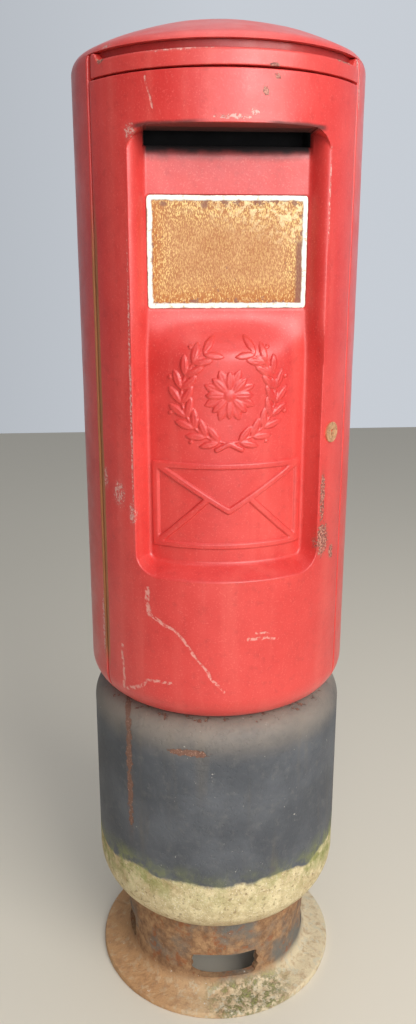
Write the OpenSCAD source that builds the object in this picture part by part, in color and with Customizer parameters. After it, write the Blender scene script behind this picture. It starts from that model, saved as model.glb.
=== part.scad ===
// Cylindrical cast-iron letter box: plinth, body, domed roof and a flush door with a recessed face.
// The front faces -Y. The origin is on the ground, on the axis of the cylinder.

/* [Body] */
// Outside diameter of the cast body
body_d = 483; // [420:1:560]
// Wall thickness of the body and the door
body_wall = 12; // [9:0.5:15]
// Height of the body casting, from the plinth to the roof joint
body_h = 1074; // [1040:1:1290]
// Radius that rounds the bottom edge of the body
bottom_round = 55; // [46:1:62]
// Radius that rounds the edge of the roof
edge_round = 28; // [24:1:34]
// Rise of the domed roof above the roof joint
roof_rise = 66; // [54:1:85]

/* [Plinth] */
// Height of the plinth, where the body stands on it
plinth_h = 628; // [520:1:760]
// Distance that the drum's surface stands inside the body's
drum_in = 1.5; // [0.5:0.5:6]
// Distance that the ground flange's edge stands inside the body's surface
flange_in = 1.5; // [-20:0.5:10]
// Thickness of the flange at its edge
flange_t = 12; // [9:1:18]
// Distance that the neck stands inside the body's surface
neck_in = 56.5; // [45:0.5:70]
// Height at which the neck meets the drum
neck_top = 173; // [150:1:200]
// Wall thickness of the plinth
plinth_wall = 14; // [10:0.5:17]
// Radius under the drum
drum_round = 90; // [70:1:100]
// Radius of the drum's top shoulder
shoulder_round = 45; // [35:1:50]
// Width of each window in the neck
window_w = 133; // [90:1:140]
// Height of each window in the neck
window_h = 52; // [30:1:60]

/* [Door] */
// Half of the angle that the door spans
door_half = 58.5; // [56:0.5:60]
// Gap between the door and the doorway
door_gap = 1.5; // [1.2:0.1:2]
// Height of the head band above the door
band_h = 23; // [18:1:30]
// Height of the air slot between the head band and the roof
air_h = 12; // [8:1:16]
// Radius of the rounded hinge edge
hinge_edge_r = 9; // [8.5:0.5:10]
// Radius of the hinge pins
pin_r = 4; // [3:0.5:4.5]
// Running clearance of each pin, on the radius
run_fit = 0.06; // [0.03:0.01:0.09]
// Angle to which the door opens
open_max = 95; // [80:1:100]

/* [Face] */
// Half width of the recess in the door
recess_half = 154; // [144:1:158]
// Distance of the recess's foot above the bottom of the body
recess_low = 267; // [200:1:320]
// Distance of the recess's head below the roof joint
recess_head = 109.5; // [95:0.5:130]
// Depth of the curved lower face below the body's surface
face_depth = 35.5; // [28:0.5:38]
// Depth of the flat upper face below the body's front
flat_depth = 79.5; // [76:0.5:84]
// Width of the letter slot
slot_w = 258; // [220:1:262]
// Height of the letter slot
slot_h = 21; // [14:1:34]
// Width of the notice plate
plate_w = 252; // [200:1:256]
// Height of the notice plate
plate_h = 170; // [120:1:176]
// Thickness of the notice plate
plate_t = 3; // [2:0.5:4]
// Height of the raised ornament
relief_h = 4; // [2:0.5:5]

/* [Lock] */
// Angle of the lock from the middle of the door
lock_angle = 46.5; // [46:0.1:47]
// Distance of the lock above the bottom of the body
lock_up = 501; // [400:1:600]
// Radius of the brass nose
nose_r = 17; // [14:0.5:18]
// Radius of the cam that drives the bolt
cam_r = 10; // [8.5:0.25:10.5]

/* [Cage] */
// Radius of the letter cage, to the middle of its hoops
cage_r = 200; // [185:1:203]
// Height of the cage
cage_h = 790; // [600:1:800]
// Width of the letter board at the foot of the door
board_w = 210; // [160:1:220]
// Height of the letter board above its rod
board_h = 78; // [60:1:84]

/* [Hidden] */
$fn = 96;
eps = 0.01;
far = 400;

body_r = body_d / 2;
in_r = body_r - body_wall;
joint_z = plinth_h + body_h;            // where the roof meets the body
edge_drop = 12;                         // the roof's edge starts to round this far below the joint
edge_z = joint_z - edge_drop;
lip_a = asin(edge_drop / edge_round);
apex_z = joint_z + roof_rise;
edge_c = body_r - edge_round;
dome_rise = apex_z - edge_z;
dome_r = (edge_c * edge_c + dome_rise * dome_rise - edge_round * edge_round)
  / (2 * (dome_rise - edge_round));
dome_a = atan2(edge_c, dome_r - dome_rise);
foot_r = body_r - bottom_round;         // flat underside of the body
floor_z = plinth_h + body_wall;
ring_w = 36;                            // width of the floor ring that stands on the plinth
ring_in_r = foot_r - ring_w;
deck_in_r = ring_in_r - 30;             // edge of the hole in the plinth's top
lip_t = 4;                              // rim of the body under the door
band_z = joint_z - air_h - band_h;
door_head_gap = 3;
door_top = band_z - door_head_gap;
door_low = plinth_h + lip_t + door_gap;
seat_r = foot_r - door_gap;             // edge of the full thickness floor ring

edge_proud = 0.5;                       // the rounded hinge edge stands this far out of the surface
hinge_r = body_r - hinge_edge_r + edge_proud;
edge_low = plinth_h + bottom_round + 7; // foot of the rounded hinge edge
lug_wall = 2.2;
lug_r = pin_r + lug_wall;
lug_h = 40;
lug_play = 0.3;
hinge_span = door_top - edge_low;
hinge_z = [for (k = [0:2]) edge_low + hinge_span * (0.08 + 0.42 * k)];
pin_len = lug_h + 44;
lug_room = 0.5;                         // room round each lug in the door
arm_t = 8;
arm_a = asin(arm_t / 2 / (lug_r + lug_room)) + 3;  // half angle that the arm needs in the door
foot_v = hinge_r - hinge_edge_r - 10;   // inner face of the hinge bracket
foot_t = 6;
foot_l = 62;
foot_seat = 40;                         // length of the foot that lies on the wall
hinge_screw_u = -44;
head_screw_a = door_half + 7;
roof_screw_set = 12;                    // roof bolts stand this far out from the lugs' inner edge
lug_w = 36;

sill_z = plinth_h + recess_low;
head_z = joint_z - recess_head;
face_r = body_r - face_depth;
flat_y = body_r - flat_depth;
cove_rise = 16;
slot_low = head_z - slot_h;
lip_drop = 19;
plate_drop = 71;                        // distance of the notice plate below the slot
plate_z0 = slot_low - plate_drop - plate_h;
recess_corner = 30;
plate_play = 1;
plate_r = 6;
pocket_t = plate_t - 0.5;
step_z = plate_z0 - 1;                  // foot of the flat face
recess_y = sqrt(body_r * body_r - recess_half * recess_half);
slot_over = 2;                          // the slot's ends run this far into the sloping sides
flat_half = max(plate_w / 2 + plate_play, slot_w / 2 - slot_over);
side_slope = (recess_half - flat_half) / (recess_y - flat_y);
side_grow = sqrt(1 + side_slope * side_slope);

lock_z = plinth_h + lock_up;
case_t = 2;
case_v1 = in_r - 5.5;                   // outer face of the lock case
case_d = 22;
case_v0 = case_v1 - case_d;
case_u0 = -16;
jamb_u = in_r * sin(door_half - lock_angle);
keep_u0 = jamb_u - 7.7;
keep_w = 32;
keep_low = -18;
keep_h = 43;
keep_mouth = 12;                        // width of the keep that lies behind the door
keep_screw_u = keep_u0 + 22;
keep_screw_z = [-12, 19];
case_u1 = keep_u0 - 4;
case_h = 80;
case_screw_u = [case_u0 + 5, case_u1 - 5];
case_screw_z = case_h / 2 - 6;
pad_t = 8;                              // thickness of the door's pad under the lock
bolt_t = 8;
bolt_v = case_v0 + 5;
bolt_low = -10;
bolt_top = 17;
bolt_play = 0.3;
cam_t = 3;
cam_v = bolt_v + bolt_t + 1;
cam_pin_r = 2.5;
cam_play = 0.4;
core_r = 8;
nose_proud = 2;
nose_fit = 0.3;
key_w = 2.4;                            // width of the keyway
key_h = 9;
screw_r = 2.4;
screw_fit = 0.1;
screw_head_r = 4.5;
screw_head_t = 3;
press = 0.02;                           // drawn clearance of the pressed-in pins
seat_gap = 0.2;                         // between a curved bracket and the wall that it sits on
bolt_r = 5.8;                           // base bolts
bolt_hole_r = 6;
bolt_head_r = 9;
bolt_a = [30:60:330];

chute_h = 135;
chute_screw_l = 9;
chute_d = 64;
chute_t = 2;
wall_y = flat_y - body_wall;            // inner face of the door behind the plate
chute_half = slot_w / 2 + 1;
flange_w = 11;
chute_screw_x = chute_half + 7;
stud_in = 16;                           // distance of the studs in from the plate's ends
stud_z = [14, plate_h - 46];
chute_z0 = head_z + body_wall + chute_t - chute_h;
chute_screw_in = 20;
chute_screw_z = [chute_z0 + chute_screw_in, chute_z0 + chute_h - chute_screw_in];

hoop_r = 4;
bar_r = 2.5;
bar_gap = 0.1;
plate_floor_t = 4;
drain_r = 8;
drain_ring_r = 60;
cage_z0 = floor_z + plate_floor_t;
cage_open = 75;                         // half angle of the cage's open front
hoop_n = 5;
hoop_up = 56;
bar_step = 15;
base_bolt_r = ring_in_r + 17.5;
roof_lug_a = [80, 140, 220, 280];
roof_lug_in = body_r - 41;
lug_t = 14;
roof_bolt_v = roof_lug_in + roof_screw_set;
roof_bolt_r = 5;
head_in = in_r - 10;
head_tab_a = door_half + 9;

rod_r = 4;
board_y = 110;
board_rod_z = cage_z0 + 12;
board_t = 3;
eye_r = 7;
board_end = 3;
board_play = 0.5;
bracket_t = 4;

// Points of an arc in the plane of a profile
function arc(cx, cy, r, a0, a1, n = 10) =
  [for (i = [0:n]) [cx + r * cos(a0 + (a1 - a0) * i / n), cy + r * sin(a0 + (a1 - a0) * i / n)]];
// Height of a hoop of the cage
function hoop_z(k) = cage_z0 + hoop_up + (cage_h - 2 * hoop_up) * k / (hoop_n - 1);
// Half width of the recess at a distance y in front of the axis, grown by g
function side_x(y, g) = recess_half - (recess_y - y) * side_slope + g * side_grow;

// Turns a piece built facing the front to an angle round the body
module facing(a) { rotate([0, 0, a]) children(); }
// Lays a piece built along +Z so that it points outward from the axis, at distance v
module outward(u, v, z) { translate([u, -v, z]) rotate([90, 0, 0]) children(); }

// Flat sector of the plan, symmetrical about the front
module sector(half) {
  polygon([[0, 0], for (i = [-3:3]) [far * sin(half * i / 3), -far * cos(half * i / 3)]]);
}

// Plan of the door: a sector with its hinge edge rounded about the hinge axis
module door_plan(grow) {
  sector(door_half + grow / body_r * 180 / PI);
  facing(-door_half) translate([0, -hinge_r]) circle(r = hinge_edge_r + grow);
}

// Direction in the plan at an angle from outward, turning away from the door
function off(a) = [-sin(a), -cos(a)];

// Plan of the doorway, with the jamb cut back to let the door's face swing past it
module doorway_plan() {
  r = hinge_edge_r + door_gap;
  door_plan(door_gap);
  facing(-door_half) translate([0, -hinge_r])
    polygon([[0, 0], r * off(open_max), r * off(open_max) + 60 * off(open_max - 90), 60 * off(0)]);
}

// Solid body of revolution inside the outer surface, between two heights
module outer_solid(inset = 0) {
  r = body_r - inset;
  rotate_extrude()
    polygon([[0, plinth_h + inset],
      each arc(foot_r, plinth_h + bottom_round, bottom_round - inset, -90, 0, 12),
      each arc(edge_c, edge_z, edge_round - inset, 0, lip_a, 4),
      [0, joint_z]]);
}

// Wall of revolution of the body, with its floor ring
module body_wall_solid() {
  rotate_extrude()
    polygon([[ring_in_r, plinth_h],
      each arc(foot_r, plinth_h + bottom_round, bottom_round, -90, 0, 12),
      each arc(edge_c, edge_z, edge_round, 0, lip_a, 4),
      [in_r, joint_z],
      each arc(foot_r, plinth_h + bottom_round, bottom_round - body_wall, 0, -90, 12),
      [ring_in_r, floor_z]]);
}

// Plinth with its drum, shoulder, neck and ground flange, hollow and open below
module base_casting() {
  pr = body_r - drum_in;
  nr = body_r - neck_in;
  fr = body_r - flange_in;
  w = plinth_wall;
  top_c = pr - shoulder_round;
  low_c = pr - drum_round;
  reach = nr - low_c;
  drum_z = neck_top + sqrt(drum_round * drum_round - reach * reach);
  reach_in = nr - w - low_c;
  round_in = drum_round - w;
  cove = 28;
  color("#5b5d61") difference() {
    rotate_extrude() polygon([
      [nr - w, 0], [fr, 0], [fr, flange_t - 2], [fr - 3, flange_t + 1],
      each arc(nr + cove, flange_t + 5 + cove, cove, -90, -180, 8),
      each arc(low_c, drum_z, drum_round, -acos(reach / drum_round), 0, 12),
      each arc(top_c, plinth_h - shoulder_round, shoulder_round, 0, 90, 10),
      [deck_in_r, plinth_h], [deck_in_r, plinth_h - w],
      each arc(top_c, plinth_h - shoulder_round, shoulder_round - w, 90, 0, 10),
      each arc(low_c, drum_z, round_in, 0, -acos(reach_in / round_in), 12)]);
    for (a = [0:90:270]) facing(a) translate([0, 0, flange_t + 60])
      rotate([90, 0, 0]) linear_extrude(far) rounded(window_w, window_h, 8);
    for (a = bolt_a) facing(a) translate([0, -base_bolt_r, plinth_h - w - 1])
      cylinder(r = bolt_hole_r, h = w + 2);
  }
}

// Rounded rectangle about its centre, with true arcs
module rounded(w, h, r) {
  square([w - 2 * r, h], center = true);
  square([w, h - 2 * r], center = true);
  for (sx = [-1, 1], sy = [-1, 1]) translate([sx * (w / 2 - r), sy * (h / 2 - r)]) circle(r = r);
}

// Bolts that hold the body to the plinth
module base_bolts() {
  head_t = 8;
  nut_t = 9;
  end = 3;
  color("#6b5a4a") for (a = bolt_a) facing(a) translate([0, -base_bolt_r, 0]) {
    translate([0, 0, floor_z]) cylinder(r = bolt_head_r, h = head_t, $fn = 6);
    translate([0, 0, plinth_h - plinth_wall - nut_t - end])
      cylinder(r = bolt_r, h = plinth_wall + body_wall + nut_t + end);
    translate([0, 0, plinth_h - plinth_wall - nut_t]) difference() {
      cylinder(r = bolt_head_r, h = nut_t, $fn = 6);
      translate([0, 0, -1]) cylinder(r = bolt_r, h = nut_t + 2);
    }
  }
}

// Body casting: a tube with a rounded foot, a floor ring and the doorway
module body_shell() {
  color("#c23b35") difference() {
    union() {
      body_wall_solid();
      for (a = roof_lug_a) facing(a) intersection() {
        translate([-lug_w / 2, -far, joint_z - lug_t]) cube([lug_w, far - roof_lug_in, lug_t]);
        cylinder(r = in_r + 2, h = joint_z);
      }
    }
    translate([0, 0, plinth_h + lip_t]) linear_extrude(body_h) difference() {
      doorway_plan();
      circle(r = seat_r);
    }
    for (a = bolt_a) facing(a) translate([0, -base_bolt_r, plinth_h - 1])
      cylinder(r = bolt_hole_r, h = body_wall + 2);
    for (a = roof_lug_a) facing(a) translate([0, -roof_bolt_v, joint_z - lug_t - 1])
      cylinder(r = roof_bolt_r + screw_fit, h = lug_t + 2);
    for (z = hinge_z) facing(-door_half) outward(hinge_screw_u, in_r - 12, z)
      cylinder(r = screw_r + screw_fit, h = 14);
    for (dz = keep_screw_z) facing(lock_angle) outward(keep_screw_u, in_r - 12, lock_z + dz)
      cylinder(r = screw_r + screw_fit, h = 13);
    for (s = [-1, 1]) facing(s * head_screw_a) outward(0, in_r - 2, band_z + band_h / 2)
      cylinder(r = screw_r + screw_fit, h = 10);
  }
}

// Domed roof casting with the ring that bolts to the body
module roof() {
  inner = dome_r - body_wall;
  ring_r = roof_lug_in - 10;
  ring_a = asin(ring_r / inner);
  color("#d8564d") difference() {
    rotate_extrude() polygon([
      [ring_r, joint_z],
      each arc(edge_c, edge_z, edge_round, lip_a, 90 - dome_a, 6),
      each arc(0, apex_z - dome_r, dome_r, 90 - dome_a, 90, 16),
      each arc(0, apex_z - dome_r, inner, 90, 90 - ring_a, 12)]);
    for (a = roof_lug_a) facing(a) translate([0, -roof_bolt_v, joint_z - 1])
      cylinder(r = roof_bolt_r + screw_fit, h = 10);
  }
}

// Bolts that pull the roof down from inside
module roof_bolts() {
  color("#6b5a4a") for (a = roof_lug_a) facing(a) translate([0, -roof_bolt_v, joint_z - lug_t]) {
    translate([0, 0, -7]) cylinder(r = 8, h = 7, $fn = 6);
    cylinder(r = roof_bolt_r, h = lug_t + 8);
  }
}

// Band over the door, with the upstand that closes the back of the air slot
module head_band() {
  seam = 0.4;
  color("#d0554d") difference() {
    union() {
      intersection() {
        outer_solid();
        translate([0, 0, band_z]) linear_extrude(band_h) difference() {
          door_plan(0);
          circle(r = in_r - seam);
        }
      }
      intersection() {
        outer_solid();
        translate([0, 0, band_z]) linear_extrude(band_h + air_h - seam) difference() {
          door_plan(0);
          circle(r = in_r - seam);
          sector(door_half - 4);
        }
      }
      translate([0, 0, band_z]) linear_extrude(band_h + air_h - seam) intersection() {
        sector(head_tab_a);
        difference() {
          circle(r = in_r - seat_gap);
          circle(r = head_in);
        }
      }
    }
    for (s = [-1, 1]) facing(s * head_screw_a) outward(0, head_in - 4, band_z + band_h / 2)
      cylinder(r = screw_r + screw_fit, h = 20);
  }
}

// Screws that hold the head band to the jambs
module head_screws() {
  color("#6b5a4a") for (s = [-1, 1]) facing(s * head_screw_a) {
    outward(0, head_in - screw_head_t - 0.1, band_z + band_h / 2)
      cylinder(r = screw_head_r, h = screw_head_t);
    outward(0, head_in - 1, band_z + band_h / 2) cylinder(r = screw_r, h = 17);
  }
}

// Brackets inside the jamb that carry the hinge pins
module hinge_brackets() {
  color("#8b2f2a") for (z = hinge_z) facing(-door_half) translate([0, 0, z - lug_h / 2]) difference() {
    union() {
      translate([0, -hinge_r, 0]) cylinder(r = lug_r, h = lug_h);
      translate([-arm_t / 2, -hinge_r, 0]) cube([arm_t, hinge_r - foot_v, lug_h]);
      translate([-foot_l, -foot_v - foot_t, 0]) cube([foot_l + arm_t / 2, foot_t, lug_h]);
      intersection() {
        translate([-foot_l, -far, 0]) cube([foot_seat, far - foot_v, lug_h]);
        cylinder(r = in_r - seat_gap, h = lug_h);
      }
    }
    translate([0, -hinge_r, -1]) cylinder(r = pin_r + press, h = lug_h + 2);
    outward(hinge_screw_u, foot_v - 1, lug_h / 2) cylinder(r = screw_r + screw_fit, h = 40);
  }
}

// Hinge pins, fixed in the brackets and running in the door
module hinge_pins() {
  color("#9a9a98") for (z = hinge_z) facing(-door_half) translate([0, -hinge_r, z - pin_len / 2])
    cylinder(r = pin_r, h = pin_len);
}

// Screws that hold the hinge brackets to the body
module hinge_screws() {
  color("#6b5a4a") for (z = hinge_z) facing(-door_half) {
    outward(hinge_screw_u, foot_v - screw_head_t, z) cylinder(r = screw_head_r, h = screw_head_t);
    outward(hinge_screw_u, foot_v - 1, z) cylinder(r = screw_r, h = in_r - foot_v + 1);
  }
}

// Keep on the lock jamb that takes the thrown bolt
module lock_keep() {
  color("#7d7468") facing(lock_angle) difference() {
    intersection() {
      translate([keep_u0, -far, lock_z + keep_low]) cube([keep_w, far - case_v0, keep_h]);
      cylinder(r = in_r - seat_gap, h = joint_z);
    }
    translate([keep_u0 - 1, -far, lock_z + keep_low - 1])
      cube([keep_mouth + 1, far - in_r + 7.5, keep_h + 2]);
    translate([keep_u0 - 1, -bolt_v - bolt_t - 1, lock_z + bolt_low - 1])
      cube([keep_mouth + 5, bolt_t + 2, bolt_top - bolt_low + 2]);
    for (dz = keep_screw_z) outward(keep_screw_u, case_v0 - 1, lock_z + dz)
      cylinder(r = screw_r + screw_fit, h = 40);
  }
}

// Screws that hold the keep
module keep_screws() {
  color("#6b5a4a") facing(lock_angle) for (dz = keep_screw_z) {
    outward(keep_screw_u, case_v0 - screw_head_t, lock_z + dz) cylinder(r = screw_head_r, h = screw_head_t);
    outward(keep_screw_u, case_v0 - 1, lock_z + dz) cylinder(r = screw_r, h = in_r - case_v0 - 1);
  }
}

// Steel plate that the letters lie on
module floor_plate() {
  color("#8a8d90") difference() {
    translate([0, 0, floor_z]) cylinder(r = seat_r - 2, h = plate_floor_t);
    for (a = bolt_a) facing(a) translate([0, -base_bolt_r, floor_z - 1])
      cylinder(r = bolt_head_r + 2, h = plate_floor_t + 2);
    for (a = [0:72:288]) facing(a) translate([0, -drain_ring_r, floor_z - 1])
      cylinder(r = drain_r, h = plate_floor_t + 2);
  }
}

// Hoops of the letter cage
module cage_hoops() {
  color("#b9bcc0") for (k = [0:hoop_n - 1])
    translate([0, 0, hoop_z(k)]) rotate([0, 0, -90 + cage_open]) rotate_extrude(angle = 360 - 2 * cage_open)
        translate([cage_r, 0]) circle(r = hoop_r, $fn = 32);
}

// Upright bars of the letter cage
module cage_bars() {
  color("#b9bcc0") for (a = [cage_open + 5 : bar_step : 360 - cage_open - 5])
    facing(a) translate([0, -(cage_r - hoop_r - bar_r - bar_gap), cage_z0])
      cylinder(r = bar_r, h = cage_h, $fn = 32);
}

// Blocks that hold the cage off the body wall
module cage_brackets() {
  color("#7d7468") for (a = [95, 180, 265], k = [1, 3])
    facing(a) translate([0, 0, hoop_z(k)]) intersection() {
      translate([-10, -far, -8]) cube([20, far - cage_r - hoop_r, 16]);
      translate([0, 0, -20]) cylinder(r = in_r - seat_gap, h = 40);
    }
}

// Angle brackets that carry the rod of the letter board
module board_brackets() {
  half = board_w / 2 + board_play;
  color("#7d7468") for (s = [0, 1]) mirror([s, 0, 0]) difference() {
    union() {
      translate([half, -board_y - 10, cage_z0]) cube([bracket_t, 20, 24]);
      translate([half, -board_y - 10, cage_z0]) cube([18, 20, 3]);
    }
    translate([half - 1, -board_y, board_rod_z]) rotate([0, 90, 0]) cylinder(r = rod_r, h = 8);
  }
}

// Rod of the letter board
module board_rod() {
  half = board_w / 2 + board_play + bracket_t + board_end;
  color("#9a9a98") translate([-half, -board_y, board_rod_z]) rotate([0, 90, 0])
    cylinder(r = rod_r, h = 2 * half);
}

// Board at the foot of the doorway that holds the letters back and drops forward
module letter_board() {
  color("#8a8d90") difference() {
    union() {
      translate([-board_w / 2, -board_y, board_rod_z]) rotate([0, 90, 0]) cylinder(r = eye_r, h = board_w);
      translate([-board_w / 2, -board_y - board_t / 2, board_rod_z]) cube([board_w, board_t, board_h]);
    }
    translate([-board_w / 2 - 1, -board_y, board_rod_z]) rotate([0, 90, 0])
      cylinder(r = rod_r + run_fit, h = board_w + 2);
  }
}

// Hollow of the recess, grown by g for the wall behind it
module recess(g) {
  top = head_z + g;
  low = sill_z - g;
  reach = body_r + 20;
  intersection() {
    translate([0, 0, (top + low) / 2]) rotate([90, 0, 0]) linear_extrude(far)
      rounded(2 * (recess_half + g), top - low, recess_corner + g);
    linear_extrude(joint_z) polygon([
      [-side_x(reach, g), -reach], [side_x(reach, g), -reach],
      [side_x(100, g), -100], [-side_x(100, g), -100]]);
    union() {
      rotate([0, 0, -135]) rotate_extrude(angle = 90) polygon([
        [face_r - g, sill_z + cove_rise - g], [body_r, sill_z - g], [far, sill_z - 2 * g - 1],
        [far, top + 1], [face_r - g, top + 1]]);
      translate([-far / 2, 0, 0]) rotate([90, 0, 90]) linear_extrude(far) polygon([
        [-(flat_y - g), top + 1], [-(flat_y - g), step_z - g / 2],
        [-far, step_z - g / 2 - (far - flat_y)], [-far, top + 1]]);
    }
  }
}

// One leaf shape about its centre, with its point upward
module leaf(l, w) {
  r = (l * l / 4 + w * w / 4) / w;
  intersection() {
    translate([r - w / 2, 0]) circle(r = r);
    translate([w / 2 - r, 0]) circle(r = r);
  }
}

// Flat pattern of the ornament: a wreath of leaves round a rosette, over an envelope
module ornament() {
  wreath_z = (step_z + sill_z) / 2 + 85;
  wreath_r = 76;
  stem = 2;
  leaf_l = 34;
  leaf_w = 11;
  petal_w = 14;
  w = 125;
  h = 75;
  bar = 8;
  translate([0, wreath_z]) {
    for (s = [-1, 1], k = [0:8]) rotate(s * (22 + 17 * k)) translate([0, -wreath_r])
      rotate(s * 50) leaf(leaf_l, leaf_w);
    difference() {
      circle(r = wreath_r + stem);
      circle(r = wreath_r - stem);
    }
    for (k = [0:7]) rotate(45 * k) translate([0, 22]) leaf(leaf_l, petal_w);
    circle(r = 11);
  }
  translate([0, sill_z + 119]) difference() {
    square([2 * w, 2 * h], center = true);
    polygon([[-w + 2 * bar, h - 2 * bar], [w - 2 * bar, h - 2 * bar], [0, -12]]);
    polygon([[-w + bar, h - 3 * bar], [-w + bar, -h + bar], [w - bar, -h + bar], [w - bar, h - 3 * bar],
      [0, -24]]);
  }
}

// Door casting with its recess, slot, ornament, hinge edge and lock pad
module door() {
  color("#e0524b") difference() {
    union() {
      intersection() {
        body_wall_solid();
        translate([0, 0, door_low]) linear_extrude(edge_low - door_low) difference() {
          door_plan(0);
          circle(r = foot_r);
        }
      }
      intersection() {
        outer_solid();
        translate([0, 0, edge_low]) linear_extrude(door_top - edge_low) {
          difference() {
            sector(door_half);
            circle(r = in_r);
          }
          facing(-door_half) translate([0, -hinge_r]) circle(r = hinge_edge_r);
        }
      }
      intersection() {
        recess(body_wall);
        outer_solid(1);
      }
      facing(lock_angle) translate([case_u0, -case_v1 - pad_t, lock_z - case_h / 2])
        cube([case_u1 - case_u0, pad_t, case_h]);
      for (s = [0, 1], z = chute_screw_z) mirror([s, 0, 0]) translate([chute_half - 1, -wall_y - 16, z - 10])
        cube([flange_w + 4, 16, 20]);
    }
    translate([-chute_half - flange_w - 3, -wall_y, step_z])
      cube([2 * (chute_half + flange_w + 3), wall_y, joint_z - step_z]);
    difference() {
      recess(0);
      intersection() {
        rotate([90, 0, 0]) linear_extrude(far) ornament();
        cylinder(r = face_r + relief_h, h = step_z - 25);
      }
    }
    translate([-slot_w / 2, -flat_y - 4, slot_low]) cube([slot_w, body_wall + 5, slot_h]);
    translate([-slot_w / 2, 0, 0]) rotate([90, 0, 90]) linear_extrude(slot_w) polygon([
      [-flat_y - 4, slot_low - lip_drop], [-flat_y, slot_low - lip_drop],
      [-wall_y, slot_low + eps], [-flat_y - 4, slot_low + eps]]);
    translate([0, -flat_y + pocket_t, plate_z0 + plate_h / 2]) rotate([90, 0, 0])
      linear_extrude(20) rounded(plate_w + 2 * plate_play, plate_h + 2 * plate_play, plate_r + plate_play);
    for (sx = [-1, 1], z = stud_z) outward(sx * (plate_w / 2 - stud_in), wall_y - 1, plate_z0 + z)
      cylinder(r = screw_r + screw_fit, h = body_wall + 2);
    for (sx = [-1, 1], z = chute_screw_z) outward(sx * chute_screw_x, wall_y - 1, z)
      cylinder(r = screw_r + screw_fit, h = chute_screw_l);
    facing(lock_angle) {
      outward(0, case_v1 - 1, lock_z) cylinder(r = nose_r + nose_fit, h = 40);
      for (u = case_screw_u, s = [-1, 1]) outward(u, case_v1 - 1, lock_z + s * case_screw_z)
        cylinder(r = screw_r + screw_fit, h = 8);
    }
    for (z = hinge_z) facing(-door_half) translate([0, -hinge_r, z]) {
      translate([0, 0, -pin_len / 2 - 1]) cylinder(r = pin_r + run_fit, h = pin_len + 2);
      translate([0, 0, -lug_h / 2 - lug_play]) {
        cylinder(r = lug_r + lug_room, h = lug_h + 2 * lug_play);
        linear_extrude(lug_h + 2 * lug_play) polygon([[0, 0],
          for (i = [0:8]) 3 * lug_r * off(180 + arm_a - (2 * arm_a + open_max) * i / 8)]);
      }
    }
  }
}

// Enamelled notice plate in its pocket
module notice_plate() {
  color("#e0c79b") translate([0, -flat_y + pocket_t, plate_z0 + plate_h / 2]) rotate([90, 0, 0])
    linear_extrude(plate_t) rounded(plate_w, plate_h, plate_r);
}

// Studs and nuts that hold the notice plate from inside
module plate_studs() {
  nut_t = 4;
  end = 2;
  color("#6b5a4a") for (sx = [-1, 1], z = stud_z)
    outward(sx * (plate_w / 2 - stud_in), 0, plate_z0 + z) {
      translate([0, 0, wall_y - nut_t - end]) cylinder(r = screw_r, h = body_wall - pocket_t + nut_t + end);
      translate([0, 0, wall_y - nut_t]) difference() {
        cylinder(r = 5, h = nut_t, $fn = 6);
        translate([0, 0, -1]) cylinder(r = screw_r, h = nut_t + 2);
      }
    }
}

// Sheet chute behind the slot that turns the letters down
module letter_chute() {
  h = chute_half;
  color("#a9acaf") translate([0, 0, chute_z0]) difference() {
    union() {
      translate([-h, -wall_y, 0]) cube([2 * h, chute_d, chute_h]);
      translate([-h - flange_w, -wall_y, 0]) cube([2 * (h + flange_w), chute_t, chute_h]);
    }
    translate([-h + chute_t, -wall_y - 1, -1])
      cube([2 * (h - chute_t), chute_d - chute_t + 1, chute_h - chute_t + 1]);
    for (sx = [-1, 1], z = [chute_screw_in, chute_h - chute_screw_in])
      outward(sx * chute_screw_x, wall_y - chute_t - 1, z)
        cylinder(r = screw_r + screw_fit, h = chute_t + 2);
  }
}

// Screws that hold the chute
module chute_screws() {
  color("#6b5a4a") for (sx = [-1, 1], z = chute_screw_z)
    outward(sx * chute_screw_x, wall_y - chute_t, z) {
      translate([0, 0, -screw_head_t]) cylinder(r = screw_head_r, h = screw_head_t);
      cylinder(r = screw_r, h = chute_screw_l);
    }
}

// Case of the lock on the back of the door
module lock_case() {
  z0 = lock_z - case_h / 2;
  color("#8d7b5a") facing(lock_angle) difference() {
    translate([case_u0, -case_v1, z0]) cube([case_u1 - case_u0, case_d, case_h]);
    translate([case_u0 + case_t, -case_v1 + case_t, z0 + case_t])
      cube([case_u1 - case_u0 - 2 * case_t, case_d - 2 * case_t, case_h - 2 * case_t]);
    translate([case_u1 - case_t - 1, -bolt_v - bolt_t - bolt_play, lock_z + bolt_low - bolt_play])
      cube([case_t + 2, bolt_t + 2 * bolt_play, bolt_top - bolt_low + 2 * bolt_play]);
    outward(0, case_v1 - case_t - 1, lock_z) cylinder(r = core_r + 0.5, h = case_t + 2);
    for (u = case_screw_u, s = [-1, 1]) outward(u, case_v0 - 1, lock_z + s * case_screw_z)
      cylinder(r = screw_r + screw_fit, h = case_d + 2);
  }
}

// Screws that hold the lock case to its pad
module lock_screws() {
  color("#6b5a4a") facing(lock_angle)
    for (u = case_screw_u, s = [-1, 1]) outward(u, case_v0, lock_z + s * case_screw_z) {
      translate([0, 0, -screw_head_t]) cylinder(r = 4, h = screw_head_t);
      cylinder(r = screw_r, h = case_d + 6);
    }
}

// Brass nose round the keyway
module lock_nose() {
  color("#b08d4f") facing(lock_angle) outward(0, case_v1, lock_z) difference() {
    cylinder(r = nose_r, h = body_r + nose_proud - case_v1);
    translate([0, 0, -1]) cylinder(r = core_r + run_fit, h = 60);
  }
}

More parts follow.
